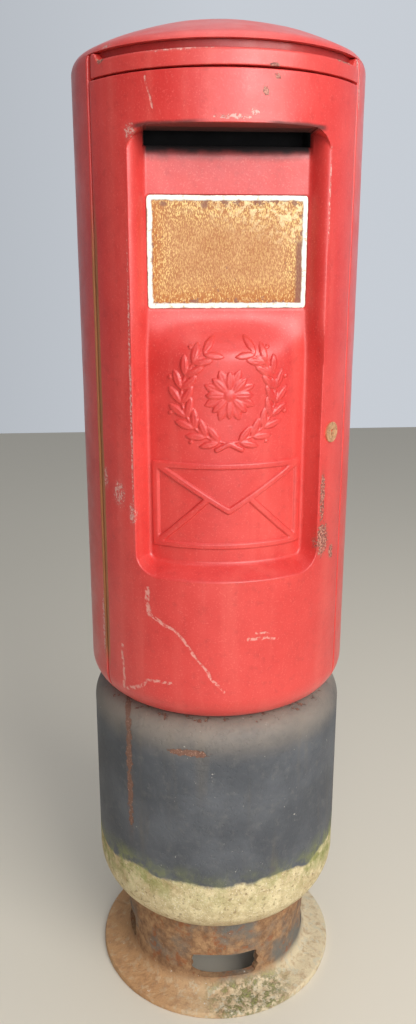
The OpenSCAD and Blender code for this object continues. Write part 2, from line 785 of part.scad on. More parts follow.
// Turning core with the keyway, the cam disc and its pin
module key_barrel() {
  color("#a67c3d") facing(lock_angle) difference() {
    union() {
      outward(0, cam_v, lock_z) cylinder(r = core_r, h = body_r + nose_proud - 0.5 - cam_v);
      outward(0, cam_v, lock_z) cylinder(r = cam_r + 4, h = cam_t);
      outward(-cam_r * sin(45), bolt_v + 1, lock_z + cam_r * cos(45))
        cylinder(r = cam_pin_r, h = cam_v - bolt_v);
    }
    translate([-key_w / 2, -body_r - nose_proud - 1, lock_z - 6]) cube([key_w, 14, key_h]);
    outward(0, body_r - 10, lock_z + 2.5) cylinder(r = key_w / 2 + 1.4, h = 20);
  }
}

// Bolt with the slot that the cam pin drives
module lock_bolt() {
  s = cam_pin_r + cam_play;
  u = cam_r * sin(45);
  color("#9a9a98") facing(lock_angle) difference() {
    translate([case_u0 + case_t + 0.5, -bolt_v - bolt_t, lock_z + bolt_low])
      cube([case_u1 + 0.5 - case_u0 - case_t - 0.5, bolt_t, bolt_top - bolt_low]);
    translate([-u - s, -bolt_v - bolt_t - 1, lock_z + u - s]) cube([2 * s, bolt_t + 2, cam_r - u + 2 * s]);
  }
}

base_casting();
base_bolts();
body_shell();
roof();
roof_bolts();
head_band();
head_screws();
hinge_brackets();
hinge_pins();
hinge_screws();
lock_keep();
keep_screws();
floor_plate();
cage_hoops();
cage_bars();
cage_brackets();
board_brackets();
board_rod();
letter_board();
door();
notice_plate();
plate_studs();
letter_chute();
chute_screws();
lock_case();
lock_screws();
lock_nose();
key_barrel();
lock_bolt();
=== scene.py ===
import math

import bmesh
import bpy
import numpy as np
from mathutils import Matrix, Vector


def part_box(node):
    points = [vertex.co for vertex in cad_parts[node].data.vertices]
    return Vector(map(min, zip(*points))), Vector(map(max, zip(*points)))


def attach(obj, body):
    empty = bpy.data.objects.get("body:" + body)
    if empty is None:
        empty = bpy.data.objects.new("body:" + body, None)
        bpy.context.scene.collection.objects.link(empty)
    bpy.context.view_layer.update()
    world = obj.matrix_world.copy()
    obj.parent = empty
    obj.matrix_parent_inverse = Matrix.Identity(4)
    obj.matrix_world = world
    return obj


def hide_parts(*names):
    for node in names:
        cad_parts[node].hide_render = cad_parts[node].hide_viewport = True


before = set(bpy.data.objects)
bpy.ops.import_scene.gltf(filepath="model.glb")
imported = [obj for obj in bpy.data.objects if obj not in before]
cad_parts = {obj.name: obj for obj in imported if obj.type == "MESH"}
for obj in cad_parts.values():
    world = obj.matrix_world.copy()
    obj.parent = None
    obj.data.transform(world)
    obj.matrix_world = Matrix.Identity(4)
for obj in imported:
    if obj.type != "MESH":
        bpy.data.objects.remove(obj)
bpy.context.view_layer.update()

# ---- Camera
# Standing height, a little to the left of the door's middle, with the body's whole height in view.
EYE_BEARING = math.radians(-5.5)
EYE_DISTANCE = 1.575
EYE_HEIGHT = 1.393
LOOK_DOWN = math.radians(15.8)
LOOK_BEARING = math.radians(-4.89)

lens = bpy.data.cameras.new("camera")
lens.sensor_width = 36.0
lens.lens = 30.375
camera = bpy.data.objects.new("camera", lens)
camera.location = (EYE_DISTANCE * math.sin(EYE_BEARING), -EYE_DISTANCE * math.cos(EYE_BEARING), EYE_HEIGHT)
camera.rotation_euler = (math.pi / 2 - LOOK_DOWN, 0.0, LOOK_BEARING)
bpy.context.collection.objects.link(camera)
bpy.context.scene.camera = camera
bpy.context.scene.view_settings.view_transform = "Standard"


# ---- Studio
# A plain pale floor, a broad window of daylight from the front right, a softer light in front and one
# overhead, and a pale sky that is brighter towards the right.
def soft_light(name, place, aim, size, power, tint=(1.0, 1.0, 1.0)):
    """A square area light at place, turned so that its face looks at aim."""
    data = bpy.data.lights.new(name, "AREA")
    data.size = size
    data.energy = power
    data.color = tint
    lamp = bpy.data.objects.new(name, data)
    lamp.location = place
    lamp.rotation_euler = (Vector(aim) - Vector(place)).to_track_quat("-Z", "Y").to_euler()
    bpy.context.collection.objects.link(lamp)
    return lamp


soft_light("window_light", (1.7, -3.0, 2.9), (0.0, 0.0, 1.1), 2.4, 121.0, (1.0, 0.98, 0.95))
soft_light("front_light", (0.1, -3.8, 2.0), (0.0, 0.0, 0.9), 2.6, 58.0, (0.98, 0.98, 1.0))
soft_light("sky_light", (0.1, -0.4, 4.4), (0.0, 0.0, 1.0), 2.6, 30.0, (0.95, 0.97, 1.0))

world = bpy.data.worlds.new("studio")
world.use_nodes = True
world.node_tree.nodes["Background"].inputs["Color"].default_value = (0.80, 0.85, 0.92, 1.0)
sky = world.node_tree.nodes.new("ShaderNodeTexCoord").outputs["Generated"]
sky_parts = world.node_tree.nodes.new("ShaderNodeSeparateXYZ")
world.node_tree.links.new(sky, sky_parts.inputs[0])
strength = None
for part, low, high, start, end in ((1, 0.1, 0.7, 0.40, 0.72), (0, -0.7, 0.1, 0.42, 1.0)):
    shade = world.node_tree.nodes.new("ShaderNodeMapRange")
    for key, number in (("From Min", low), ("From Max", high), ("To Min", start), ("To Max", end)):
        shade.inputs[key].default_value = number
    world.node_tree.links.new(sky_parts.outputs[part], shade.inputs["Value"])
    if strength is not None:
        both = world.node_tree.nodes.new("ShaderNodeMath")
        both.operation = "MULTIPLY"
        world.node_tree.links.new(strength, both.inputs[0])
        world.node_tree.links.new(shade.outputs[0], both.inputs[1])
        strength = both.outputs[0]
    else:
        strength = shade.outputs[0]
world.node_tree.links.new(strength, world.node_tree.nodes["Background"].inputs["Strength"])
bpy.context.scene.world = world

floor_mesh = bpy.data.meshes.new("floor")
FLOOR_HALF = 6.0
floor_mesh.from_pydata([(-FLOOR_HALF, -FLOOR_HALF, 0), (FLOOR_HALF, -FLOOR_HALF, 0),
                        (FLOOR_HALF, FLOOR_HALF, 0), (-FLOOR_HALF, FLOOR_HALF, 0)], [], [(0, 1, 2, 3)])
floor = bpy.data.objects.new("floor", floor_mesh)
bpy.context.collection.objects.link(floor)
floor_paint = bpy.data.materials.new("pale_floor")
floor_paint.use_nodes = True
floor_paint.node_tree.nodes["Principled BSDF"].inputs["Base Color"].default_value = (0.72, 0.66, 0.55, 1.0)
floor_paint.node_tree.nodes["Principled BSDF"].inputs["Roughness"].default_value = 0.8
floor_mesh.materials.append(floor_paint)

# ---- Plinth
# One iron casting: a ground flange, a neck with four windows, and a drum with rounded ends. It is painted
# black where it stands above the ground, and is bare, stony and mossy below.
DEG = math.pi / 180
MM = 0.001
seat_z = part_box("base_casting")[1][2]
plinth_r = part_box("base_casting")[1][0]
NECK_R = 185 * MM
NECK_TOP = 173 * MM
PLINTH_WALL = 14 * MM
WINDOW_HALF = math.asin(66.5 / 185)
WINDOW_LOW = 46 * MM
WINDOW_HIGH = 98 * MM
PAINT_LINE = 300 * MM


def arc(cx, cy, r, a0, a1, n):
    """n points round a circle from angle a0 to a1 in degrees, as an (n, 2) array."""
    a = np.radians(np.linspace(a0, a1, n))
    return np.stack([cx + r * np.cos(a), cy + r * np.sin(a)], axis=1)


def steps(stops, counts):
    """Rising values that pass through every stop, with the given number of steps between them."""
    parts = [np.linspace(a, b, n, endpoint=False) for a, b, n in zip(stops[:-1], stops[1:], counts)]
    return np.concatenate(parts + [[stops[-1]]])


def ripple(points, size, seed, waves=10):
    """Smooth unevenness between about -1 and 1: a sum of sine waves in fixed, seeded directions."""
    rng = np.random.default_rng(seed)
    way = rng.normal(size=(waves, 3))
    way *= (2 * math.pi / size) * rng.uniform(0.6, 1.5, (waves, 1)) / np.linalg.norm(way, axis=1,
                                                                                     keepdims=True)
    phase = rng.uniform(0, 2 * math.pi, waves)
    return np.sin(points @ way.T + phase).sum(axis=-1) / math.sqrt(waves)


def around(radius, angle, height):
    """Points at a radius and height, at an angle from the front that grows towards +X."""
    radius, angle, height = np.broadcast_arrays(radius, angle, height)
    return np.stack([radius * np.sin(angle), -radius * np.cos(angle), height], axis=-1)


def as_object(name, points, faces):
    """A smooth-shaded object from a point array and a list of faces, with its loose points dropped."""
    used, index = np.unique(np.concatenate([f.ravel() for f in faces]), return_inverse=True)
    mesh = bpy.data.meshes.new(name)
    lists, start = [], 0
    for f in faces:
        lists += index[start:start + f.size].reshape(f.shape).tolist()
        start += f.size
    mesh.from_pydata(points.reshape(-1, 3)[used].tolist(), [], lists)
    obj = bpy.data.objects.new(name, mesh)
    bpy.context.collection.objects.link(obj)
    return obj


def thick_sheet(name, outer, inner, keep=None, closed=False, sharp=40):
    """A wall between two grids of points of the same shape, (rows up, columns to the right, 3).
    Faces follow the grids where keep is true, and every open border is bridged from one to the other."""
    rows, cols = outer.shape[:2]
    index = np.arange(rows * cols).reshape(rows, cols)
    right = np.roll(index, -1, axis=1) if closed else index[:, 1:]
    left = index if closed else index[:, :-1]
    a, b, c, d = left[:-1], right[:-1], right[1:], left[1:]
    keep = np.ones(a.shape, bool) if keep is None else keep
    n = rows * cols
    faces = [np.stack([a, b, c, d], -1)[keep], np.stack([a, d, c, b], -1)[keep] + n]
    pad = np.pad(keep, 1)
    if closed:
        pad[:, 0], pad[:, -1] = pad[:, -2], pad[:, 1]
    below, above = ~pad[:-2, 1:-1] & keep, ~pad[2:, 1:-1] & keep
    before, after = ~pad[1:-1, :-2] & keep, ~pad[1:-1, 2:] & keep
    for p, q, edge in ((a, b, below), (b, c, after), (c, d, above), (d, a, before)):
        faces.append(np.stack([q, p, p + n, q + n], -1)[edge])
    obj = as_object(name, np.concatenate([outer.reshape(-1, 3), inner.reshape(-1, 3)]), faces)
    finish_mesh(obj, sharp)
    return obj


def finish_mesh(obj, sharp):
    """Merges doubled points at poles, makes every face look outward, and shades smooth up to an angle."""
    mesh = bmesh.new()
    mesh.from_mesh(obj.data)
    bmesh.ops.remove_doubles(mesh, verts=mesh.verts, dist=1e-6)
    bmesh.ops.recalc_face_normals(mesh, faces=mesh.faces)
    mesh.to_mesh(obj.data)
    mesh.free()
    obj.data.shade_smooth()
    obj.data.set_sharp_from_angle(angle=sharp * DEG)


def quadrant_angles():
    """Angles right round, with grid lines on both sides of each of the four windows."""
    quarter = steps([-45 * DEG, -WINDOW_HALF, WINDOW_HALF, 45 * DEG], [18, 30, 18])[:-1]
    return np.concatenate([quarter + k * math.pi / 2 for k in range(4)])


def plinth_profile():
    """Outer and inner outline, row by row, as (radius, height): flange, cove, neck, drum and shoulder."""
    low_round, shoulder = 90 * MM, 45 * MM
    low_c = plinth_r - low_round
    top_c = plinth_r - shoulder
    drum_z = NECK_TOP + math.sqrt(low_round ** 2 - (NECK_R - low_c) ** 2)
    start = -math.degrees(math.acos((NECK_R - low_c) / low_round))
    flange = np.array([[plinth_r - 1.5 * MM, 0], [plinth_r, 1.5 * MM], [plinth_r, 9 * MM],
                       [plinth_r - 2 * MM, 12 * MM]])
    cove = arc(NECK_R + 28 * MM, 45 * MM, 28 * MM, -90, -180, 10)
    neck_z = steps([WINDOW_LOW, WINDOW_HIGH, NECK_TOP], [16, 22])
    neck = np.stack([np.full_like(neck_z, NECK_R), neck_z], 1)
    under = arc(low_c, drum_z, low_round, start, 0, 30)[1:]
    drum_rows = np.linspace(drum_z, seat_z - shoulder, 52)[1:-1]
    drum = np.stack([np.full_like(drum_rows, plinth_r), drum_rows], 1)
    top = arc(top_c, seat_z - shoulder, shoulder, 0, 90, 20)
    deck = np.array([[0.17, seat_z], [0.15, seat_z], [0.12, seat_z]])
    outer = np.concatenate([flange, cove, neck, under, drum, top, deck])
    w = PLINTH_WALL
    straight = np.concatenate([flange, cove, neck]).copy()
    straight[:, 0] = NECK_R - w
    inner = np.concatenate([
        straight, arc(low_c, drum_z, low_round - w, start, 0, 30)[1:], drum - [w, 0],
        arc(top_c, seat_z - shoulder, shoulder - w, 0, 90, 20), deck - [0, w]])
    return outer, inner


def window_shape(angle, height):
    """Rounds the window's corners: points near it move along rays from its centre onto a squared oval."""
    turn = (angle + math.pi / 4) % (math.pi / 2) - math.pi / 4
    p = turn / WINDOW_HALF
    mid, half = (WINDOW_HIGH + WINDOW_LOW) / 2, (WINDOW_HIGH - WINDOW_LOW) / 2
    q = (height - mid) / half
    m = np.maximum(np.abs(p), np.abs(q))
    pull = (np.abs(p) ** 7 + np.abs(q) ** 7 + 1e-9) ** (-1 / 7) * m - 1
    pull = pull * np.exp(-3.5 * np.abs(m - 1)) + 0.03 * np.sin(5.3 * p + 9 * q) * np.exp(-9 * np.abs(m - 1))
    pull = np.where(height < 0.13, pull, 0)
    return angle + turn * pull, height + (height - mid) * pull * (height > 0.03)


outline, lining = plinth_profile()
angles = quadrant_angles()
turn, rise = window_shape(angles[None, :], np.repeat(outline[:, 1:], len(angles), 1))
skin = around(outline[:, :1], turn, rise)
rough = np.interp(outline[:, 1], [0.0, 0.25, 0.31, 0.34, 0.6, 0.63], [0.5, 0.45, 0.3, 0.16, 0.16, 0.1])[:,
                                                                                                        None]
radial = around(1.0, turn, 0 * turn)
lump = 0.6 * ripple(skin, 0.09, 3) + 0.4 * ripple(skin, 0.03, 4)
skin = skin - radial * (np.abs(rough * lump) * MM)[..., None]
skin[..., 2] = np.clip(skin[..., 2], 0, seat_z)
back = around(lining[:, :1], turn, np.where(outline[:, 1:] < 0.15, rise, lining[:, 1:]))
back[..., 2] = np.clip(back[..., 2], 0, seat_z)
row_z = (outline[:-1, 1] + outline[1:, 1]) / 2
in_rows = (row_z > WINDOW_LOW) & (row_z < WINDOW_HIGH)
middle = (angles + np.roll(angles, -1)) / 2
in_cols = np.abs((middle + math.pi / 4) % (math.pi / 2) - math.pi / 4) < WINDOW_HALF
in_cols[-1] = False
plinth = thick_sheet("plinth_casting", skin, back, ~(in_rows[:, None] & in_cols[None, :]), closed=True)


def fill(socket, value):
    """Links a socket to where its value comes from, or sets it to a plain value."""
    if isinstance(value, bpy.types.NodeSocket):
        socket.id_data.links.new(value, socket)
    else:
        socket.default_value = value


def put(tree, kind, settings=None, **values):
    """Adds a node. settings are its own properties; values go to the inputs named, with _ for a space,
    or by number after the letter i. A socket is linked, and anything else is set."""
    made = tree.nodes.new(kind)
    for key, value in (settings or {}).items():
        setattr(made, key, value)
    for key, value in values.items():
        by_number = key[0] == "i" and key[1:].isdigit()
        fill(made.inputs[int(key[1:]) if by_number else key.replace("_", " ")], value)
    return made


def tree_of(*values):
    """The node tree that the first socket among some values belongs to."""
    return next(value.id_data for value in values if isinstance(value, bpy.types.NodeSocket))


def calc(operation, a, b=0.0, clamp=False):
    """The result of a Math node."""
    return put(tree_of(a, b), "ShaderNodeMath", {"operation": operation, "use_clamp": clamp}, i0=a,
               i1=b).outputs[0]


def times(first, *rest):
    """Numbers multiplied together."""
    for value in rest:
        first = calc("MULTIPLY", first, value)
    return first


def plus(first, *rest):
    """Numbers added together."""
    for value in rest:
        first = calc("ADD", first, value)
    return first


def most(first, *rest):
    """The greatest of some numbers."""
    for value in rest:
        first = calc("MAXIMUM", first, value)
    return first


def apart(a, b=0.0):
    """How far one number is from another."""
    return calc("ABSOLUTE", a if b == 0.0 else calc("SUBTRACT", a, b))


def blend(amount, under, over):
    """under where amount is 0 and over where it is 1, as a colour."""
    made = put(tree_of(amount, under, over), "ShaderNodeMix", {"data_type": "RGBA"})
    for number, value in ((0, amount), (6, under), (7, over)):
        fill(made.inputs[number], value)
    return made.outputs[2]


def span(value, low, high, start=0.0, end=1.0):
    """value from low to high becomes start to end, and stays inside them."""
    made = put(value.id_data, "ShaderNodeMapRange", {"interpolation_type": "SMOOTHSTEP"}, Value=value)
    for key, number in (("From Min", low), ("From Max", high), ("To Min", start), ("To Max", end)):
        made.inputs[key].default_value = number
    return made.outputs[0]


def noise(where, scale, detail=4.0, rough=0.55, stretch=None):
    """Cloudy noise from 0 to 1 on Object coordinates, stretched by a factor along each axis."""
    if stretch:
        where = put(where.id_data, "ShaderNodeMapping", i0=where, Scale=stretch).outputs[0]
    return put(where.id_data, "ShaderNodeTexNoise", Vector=where, Scale=scale, Detail=detail,
               Roughness=rough).outputs["Fac"]


def srgb(r, g, b):
    """A colour given as 0-255 screen values, as linear light."""
    shares = (r / 255, g / 255, b / 255)
    return tuple(c / 12.92 if c <= 0.04045 else ((c + 0.055) / 1.055) ** 2.4 for c in shares) + (1.0,)


def tint(under, place, share, r, g, b):
    """under, covered by a share of a colour where place is 1."""
    return blend(times(place, share), under, srgb(r, g, b))


def group(name, inputs, output):
    """An empty node group with a place, inputs {name: default} and one number out. An input whose default is
    None is a vector. Gives the inputs to read from and the output to fill."""
    tree = bpy.data.node_groups.new(name, "ShaderNodeTree")
    for key, value in {"Where": None, **inputs}.items():
        kind = "NodeSocketVector" if value is None else "NodeSocketFloat"
        socket = tree.interface.new_socket(key, in_out="INPUT", socket_type=kind)
        if value is not None:
            socket.default_value = value
    tree.interface.new_socket(output, in_out="OUTPUT", socket_type="NodeSocketFloat")
    return tree.nodes.new("NodeGroupInput").outputs, tree.nodes.new("NodeGroupOutput").inputs[output]


def use_group(name, where, **numbers):
    """The outputs of a node group, placed with its own values."""
    return put(where.id_data, "ShaderNodeGroup", {"node_tree": bpy.data.node_groups[name]}, Where=where,
               **numbers).outputs


def cast_skin_group():
    """The height of a painted sand casting: slow waves, orange peel and scattered pits."""
    feed, out = group("cast_skin", {"Waves": 1.0, "Peel": 1.0, "Pits": 0.0}, "Height")
    where = feed["Where"]
    waves = times(noise(where, 14.0, 2.0), feed["Waves"])
    peel = times(noise(where, 240.0, 3.0, 0.6), feed["Peel"])
    holes = span(noise(where, 130.0, 3.0, 0.6), 0.36, 0.46)
    pits = times(holes, feed["Pits"])
    height = plus(times(waves, 6.0), peel, times(pits, 2.0))
    fill(out, height)


def flaking_group():
    """Where paint has come away: ragged patches inside a region, with small specks round them."""
    feed, out = group("flaking", {"Region": 1.0, "Amount": 0.5, "Scale": 40.0}, "Bare")
    cloud = noise(feed["Where"], feed["Scale"], 6.0, 0.68)
    level = plus(cloud, times(feed["Region"], feed["Amount"]))
    fill(out, times(span(level, 0.74, 0.78), span(feed["Region"], 0.02, 0.2)))


cast_skin_group()
flaking_group()


def material(name):
    """A material with its Principled shader, its Object coordinates and their parts."""
    made = bpy.data.materials.new(name)
    made.use_nodes = True
    tree = made.node_tree
    where = put(tree, "ShaderNodeTexCoord").outputs["Object"]
    parts = put(tree, "ShaderNodeSeparateXYZ", i0=where).outputs
    return made, tree.nodes["Principled BSDF"], where, parts


def raise_surface(shader, height, distance):
    """Feeds a height in units of distance to the shader's Normal through a Bump node."""
    bump = put(height.id_data, "ShaderNodeBump", Strength=1.0, Distance=distance, Height=height)
    fill(shader.inputs["Normal"], bump.outputs[0])


def plinth_material():
    """Dull black paint over iron: a painted highlight on the shoulder, rust runs, a ragged paint edge, then
    pale stony scale, green algae along the edge, and a brown neck with moss and grey concrete on the flange."""
    made, shader, where, (x, y, z) = material("plinth_finish")
    cloud = noise(where, 9.0, 5.0, 0.6)
    fine = noise(where, 60.0, 5.0, 0.65)
    grain = noise(where, 300.0, 3.0, 0.7)
    black = blend(span(cloud, 0.35, 0.7), srgb(72, 75, 80), srgb(92, 95, 100))
    black = tint(black, span(fine, 0.5, 0.75), 0.35, 118, 116, 112)
    streak = noise(where, 22.0, 3.0, 0.6, (1.0, 1.0, 0.1))
    black = tint(black, span(streak, 0.52, 0.75), 0.4, 104, 96, 84)
    # Painted highlight: the top of the drum's shoulder is paled to a warm grey.
    shoulder = times(span(z, 0.545, 0.625), span(cloud, 0.25, 0.6, 0.45, 1.0))
    black = tint(black, shoulder, 0.75, 148, 134, 118)

    left_run = times(span(apart(x, -0.175), 0.0, 0.010, 1.0, 0.0),
                     span(z, 0.32, 0.44), span(y, -0.02, 0.0, 1.0, 0.0))
    under_lip = times(span(apart(x, -0.068), 0.0, 0.07, 1.0, 0.0),
                      span(apart(z, 0.574), 0.0, 0.016, 1.0, 0.0), span(y, -0.05, 0.0, 1.0, 0.0))
    rim = span(z, 0.606, 0.63)
    region = most(left_run, under_lip, times(rim, 0.45))
    bare = use_group("flaking", where, Region=region, Amount=0.42, Scale=70.0)["Bare"]
    rust = blend(fine, srgb(100, 68, 56), srgb(142, 104, 86))
    rust = blend(span(grain, 0.55, 0.7), rust, srgb(196, 160, 138))
    painted = blend(bare, black, rust)
    painted = tint(painted, left_run, 0.3, 118, 92, 78)

    stone = blend(span(fine, 0.3, 0.7), srgb(196, 176, 132), srgb(228, 212, 168))
    stone = blend(span(grain, 0.56, 0.7), stone, srgb(244, 234, 208))
    stone = tint(stone, span(cloud, 0.52, 0.7), 0.5, 176, 142, 100)
    stone = tint(stone, span(noise(where, 110.0, 3.0, 0.6), 0.42, 0.34), 0.6, 136, 110, 78)
    lower = span(z, 0.17, 0.235, 1.0, 0.0)
    stone = tint(stone, lower, 0.6, 160, 128, 94)

    edge = plus(z, times(plus(noise(where, 7.0, 5.0, 0.6), -0.5), 0.07))
    line = span(edge, PAINT_LINE - 0.004, PAINT_LINE + 0.004)
    colour = blend(line, stone, painted)

    damp = apart(edge, PAINT_LINE - 0.012)
    sides = span(apart(x), 0.03, 0.2, 0.35, 1.0)
    algae = times(span(damp, 0.0, 0.06, 1.0, 0.0), sides, span(noise(where, 26.0, 5.0, 0.7), 0.38, 0.62))
    green = blend(fine, srgb(112, 122, 58), srgb(158, 160, 88))
    colour = blend(times(algae, 0.9), colour, green)

    neck = blend(span(fine, 0.3, 0.7), srgb(126, 90, 62), srgb(178, 138, 98))
    neck = blend(span(cloud, 0.48, 0.66), neck, srgb(112, 108, 100))
    neck = tint(neck, span(noise(where, 34.0, 5.0, 0.7), 0.55, 0.66), 0.8, 150, 90, 52)
    colour = blend(span(plus(z, times(fine, 0.012)), 0.178, 0.19), neck, colour)
    slab = blend(span(x, -0.16, 0.10), srgb(196, 150, 104), srgb(220, 202, 166))
    slab = tint(slab, span(fine, 0.46, 0.66), 0.5, 158, 116, 82)
    slab = blend(times(span(noise(where, 64.0, 5.0, 0.7), 0.52, 0.62), span(x, -0.12, 0.02, 0.25, 1.0)), slab,
                 srgb(208, 196, 168))
    low = span(z, 0.024, 0.05, 1.0, 0.0)
    moss_place = times(span(x, -0.06, 0.02), span(x, 0.16, 0.08), span(y, -0.13, -0.18))
    moss = times(moss_place, low, span(noise(where, 75.0, 5.0, 0.8), 0.46, 0.60))
    slab = blend(times(moss, 0.85), slab, blend(grain, srgb(92, 104, 44), srgb(160, 160, 90)))
    colour = blend(low, colour, slab)
    chips = span(noise(where, 90.0, 4.0, 0.7), 0.69, 0.72)
    colour = blend(times(chips, span(z, 0.28, 0.34, 1.0, 0.45)), colour, srgb(226, 220, 206))
    fill(shader.inputs["Base Color"], colour)

    dull = span(line, 0.0, 1.0, 0.92, 0.62)
    fill(shader.inputs["Roughness"], most(dull, times(bare, 0.9)))
    skin_height = use_group("cast_skin", where, Waves=0.3, Peel=0.7, Pits=0.25)["Height"]
    stony = times(plus(fine, times(grain, 0.5)), span(line, 0.0, 1.0, 3.2, 0.06))
    height = plus(skin_height, plus(stony, times(moss, 2.0)))
    height = plus(height, plus(times(line, 1.2), times(bare, -1.0)))
    raise_surface(shader, height, 0.0008)
    return made


plinth.data.materials.append(plinth_material())
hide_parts("base_casting")
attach(plinth, "carcass")

# ---- Body
# An iron tube with a rounded foot, painted red. The doorway is cut out of its front, and its jambs have
# soft edges. A floor ring at the foot carries the body on the plinth.
body_low, body_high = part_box("body_shell")
body_r = body_high[0]
joint_z = body_high[2]
BODY_WALL = 12 * MM
FOOT_ROUND = 55 * MM
ROOF_ROUND = 28 * MM
LIP = 4 * MM
CAST_WAVE = 0.22 * MM
RING_HOLE = 150 * MM
DOOR_HALF = 58.5 * DEG
DOOR_GAP = 1.5 * MM
HINGE_R = 9 * MM
hinge_in = body_r - HINGE_R + 0.5 * MM
foot_r = body_r - FOOT_ROUND
round_z = seat_z + FOOT_ROUND
edge_z = joint_z - 12 * MM
AIR_SLOT = 12 * MM
BAND = 23 * MM
band_z = joint_z - AIR_SLOT - BAND
door_low_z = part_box("door")[0][2]
door_top_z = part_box("door")[1][2]


def body_radius(z):
    """Radius of the outer surface at a height: a quarter round at the foot and the roof's edge above."""
    low = np.clip(round_z - z, 0, FOOT_ROUND)
    high = np.clip(z - edge_z, 0, ROOF_ROUND)
    return (body_r - FOOT_ROUND + np.sqrt(FOOT_ROUND ** 2 - low ** 2)
            - ROOF_ROUND + np.sqrt(ROOF_ROUND ** 2 - high ** 2))


def eased(distance, radius):
    """How far a rounded edge falls below its face, at a distance from the edge's end."""
    d = np.clip(radius - distance, 0, radius)
    return radius - np.sqrt(np.maximum(radius ** 2 - d ** 2, 0))


def inside_radius(z):
    """Radius of the inner surface at a height, one wall thickness in from the outer one."""
    low = np.clip(round_z - z, 0, FOOT_ROUND - BODY_WALL)
    return foot_r + np.sqrt((FOOT_ROUND - BODY_WALL) ** 2 - low ** 2)


jamb_right = DOOR_HALF + DOOR_GAP / body_r
jamb_left = 2 * math.pi - DOOR_HALF - 11.2 * MM / body_r
fine = np.array([0, 0.3, 0.8, 1.5, 2.4, 3.5]) * MM / body_r
edge_run = 6 * MM / body_r
angles = np.concatenate([jamb_right + fine, np.linspace(jamb_right + edge_run, jamb_left - edge_run, 230),
                         jamb_left - fine[::-1]])
foot_turn = math.acos((round_z - seat_z - LIP) / FOOT_ROUND)
levels = np.concatenate([round_z - FOOT_ROUND * np.cos(np.linspace(foot_turn, math.pi / 2, 26)),
                         np.linspace(round_z, edge_z, 90)[1:], np.linspace(edge_z, joint_z, 7)[1:]])
reach = np.minimum(angles - jamb_right, jamb_left - angles) * body_r
radius = body_radius(levels)[:, None] - eased(reach, 2.5 * MM)[None, :]
wall = around(radius, angles[None, :], levels[:, None])
dents = CAST_WAVE * np.abs(ripple(wall, 0.11, 11))
wall -= around(1.0, angles[None, :], 0 * levels[:, None]) * dents[..., None]
lining = around(inside_radius(levels)[:, None], angles[None, :], levels[:, None])
body_wall = thick_sheet("body_wall", wall, lining)

lip_turn = math.degrees(math.acos(1 - LIP / FOOT_ROUND))
ring_outline = np.concatenate([[[RING_HOLE, seat_z], [foot_r, seat_z]],
                               arc(foot_r, round_z, FOOT_ROUND, -90, lip_turn - 90, 8)[1:]])
floor_z, lip_z = seat_z + BODY_WALL, seat_z + LIP
ring_lining = np.array([[RING_HOLE, floor_z], [160 * MM, floor_z], [170 * MM, floor_z], [184 * MM, floor_z],
                        [184.5 * MM, floor_z - 0.5 * MM], [184.5 * MM, lip_z + 0.5 * MM], [186 * MM, lip_z],
                        [195 * MM, lip_z], [ring_outline[-1, 0] - 0.2 * MM, lip_z]])
turns = np.linspace(0, 2 * math.pi, 241)[:-1]
ring = thick_sheet("body_foot_ring", around(ring_outline[:, :1], turns[None, :], ring_outline[:, 1:]),
                   around(ring_lining[:, :1], turns[None, :], ring_lining[:, 1:]), closed=True)


def scratch_group():
    """A broken, ragged line on the front, from the closeness to a straight stroke between two ends."""
    feed, out = group("scratch", {"From": None, "To": None, "Width": 0.004}, "Mark")
    where = feed["Where"]

    def vector(operation, a, b):
        made = put(tree_of(a, b), "ShaderNodeVectorMath", {"operation": operation}, i0=a, i1=b)
        return made.outputs["Value" if operation in ("DOT_PRODUCT", "DISTANCE") else "Vector"]

    cloud = put(where.id_data, "ShaderNodeTexNoise", Vector=where, Scale=28.0, Detail=4.0).outputs["Color"]
    shake = vector("MULTIPLY", vector("SUBTRACT", cloud, (0.5, 0.5, 0.5)), (0.018, 0.0, 0.018))
    flat = vector("MULTIPLY", vector("ADD", where, shake), (1.0, 0.0, 1.0))
    away, along = vector("SUBTRACT", flat, feed["From"]), vector("SUBTRACT", feed["To"], feed["From"])
    share = calc("DIVIDE", vector("DOT_PRODUCT", away, along), vector("DOT_PRODUCT", along, along),
                 clamp=True)
    nearest = put(where.id_data, "ShaderNodeVectorMath", {"operation": "SCALE"}, i0=along,
                  Scale=share).outputs[0]
    gap = vector("DISTANCE", away, nearest)
    close = calc("SUBTRACT", 1.0, calc("DIVIDE", gap, feed["Width"]), clamp=True)
    front = span(put(where.id_data, "ShaderNodeSeparateXYZ", i0=where).outputs[1], -0.06, -0.04, 1.0, 0.0)
    fill(out, times(span(close, 0.1, 0.6), span(noise(where, 120.0, 4.0, 0.7), 0.42, 0.56), front))


scratch_group()


def scratches(where, strokes):
    """All the strokes, each ((x, z), (x, z), width), as one mask."""
    return most(*(use_group("scratch", where, From=(x0, 0.0, z0), To=(x1, 0.0, z1), Width=width)["Mark"]
                  for (x0, z0), (x1, z1), width in strokes))


def spot(parts, place, size):
    """1 at a place on the object and 0 outside an ellipsoid of the given half sizes round it."""
    terms = [calc("POWER", calc("DIVIDE", calc("ABSOLUTE", calc("SUBTRACT", part, centre)), half), 2.0)
             for part, centre, half in zip(parts, place, size)]
    return span(plus(*terms), 0.0, 1.0, 1.0, 0.0)


def on_body(angle, z, width, height):
    """A spot's place and half sizes, at an angle from the front on the body's outside."""
    a = angle * DEG
    return ((body_r * math.sin(a), -body_r * math.cos(a), z), (width, width, height))


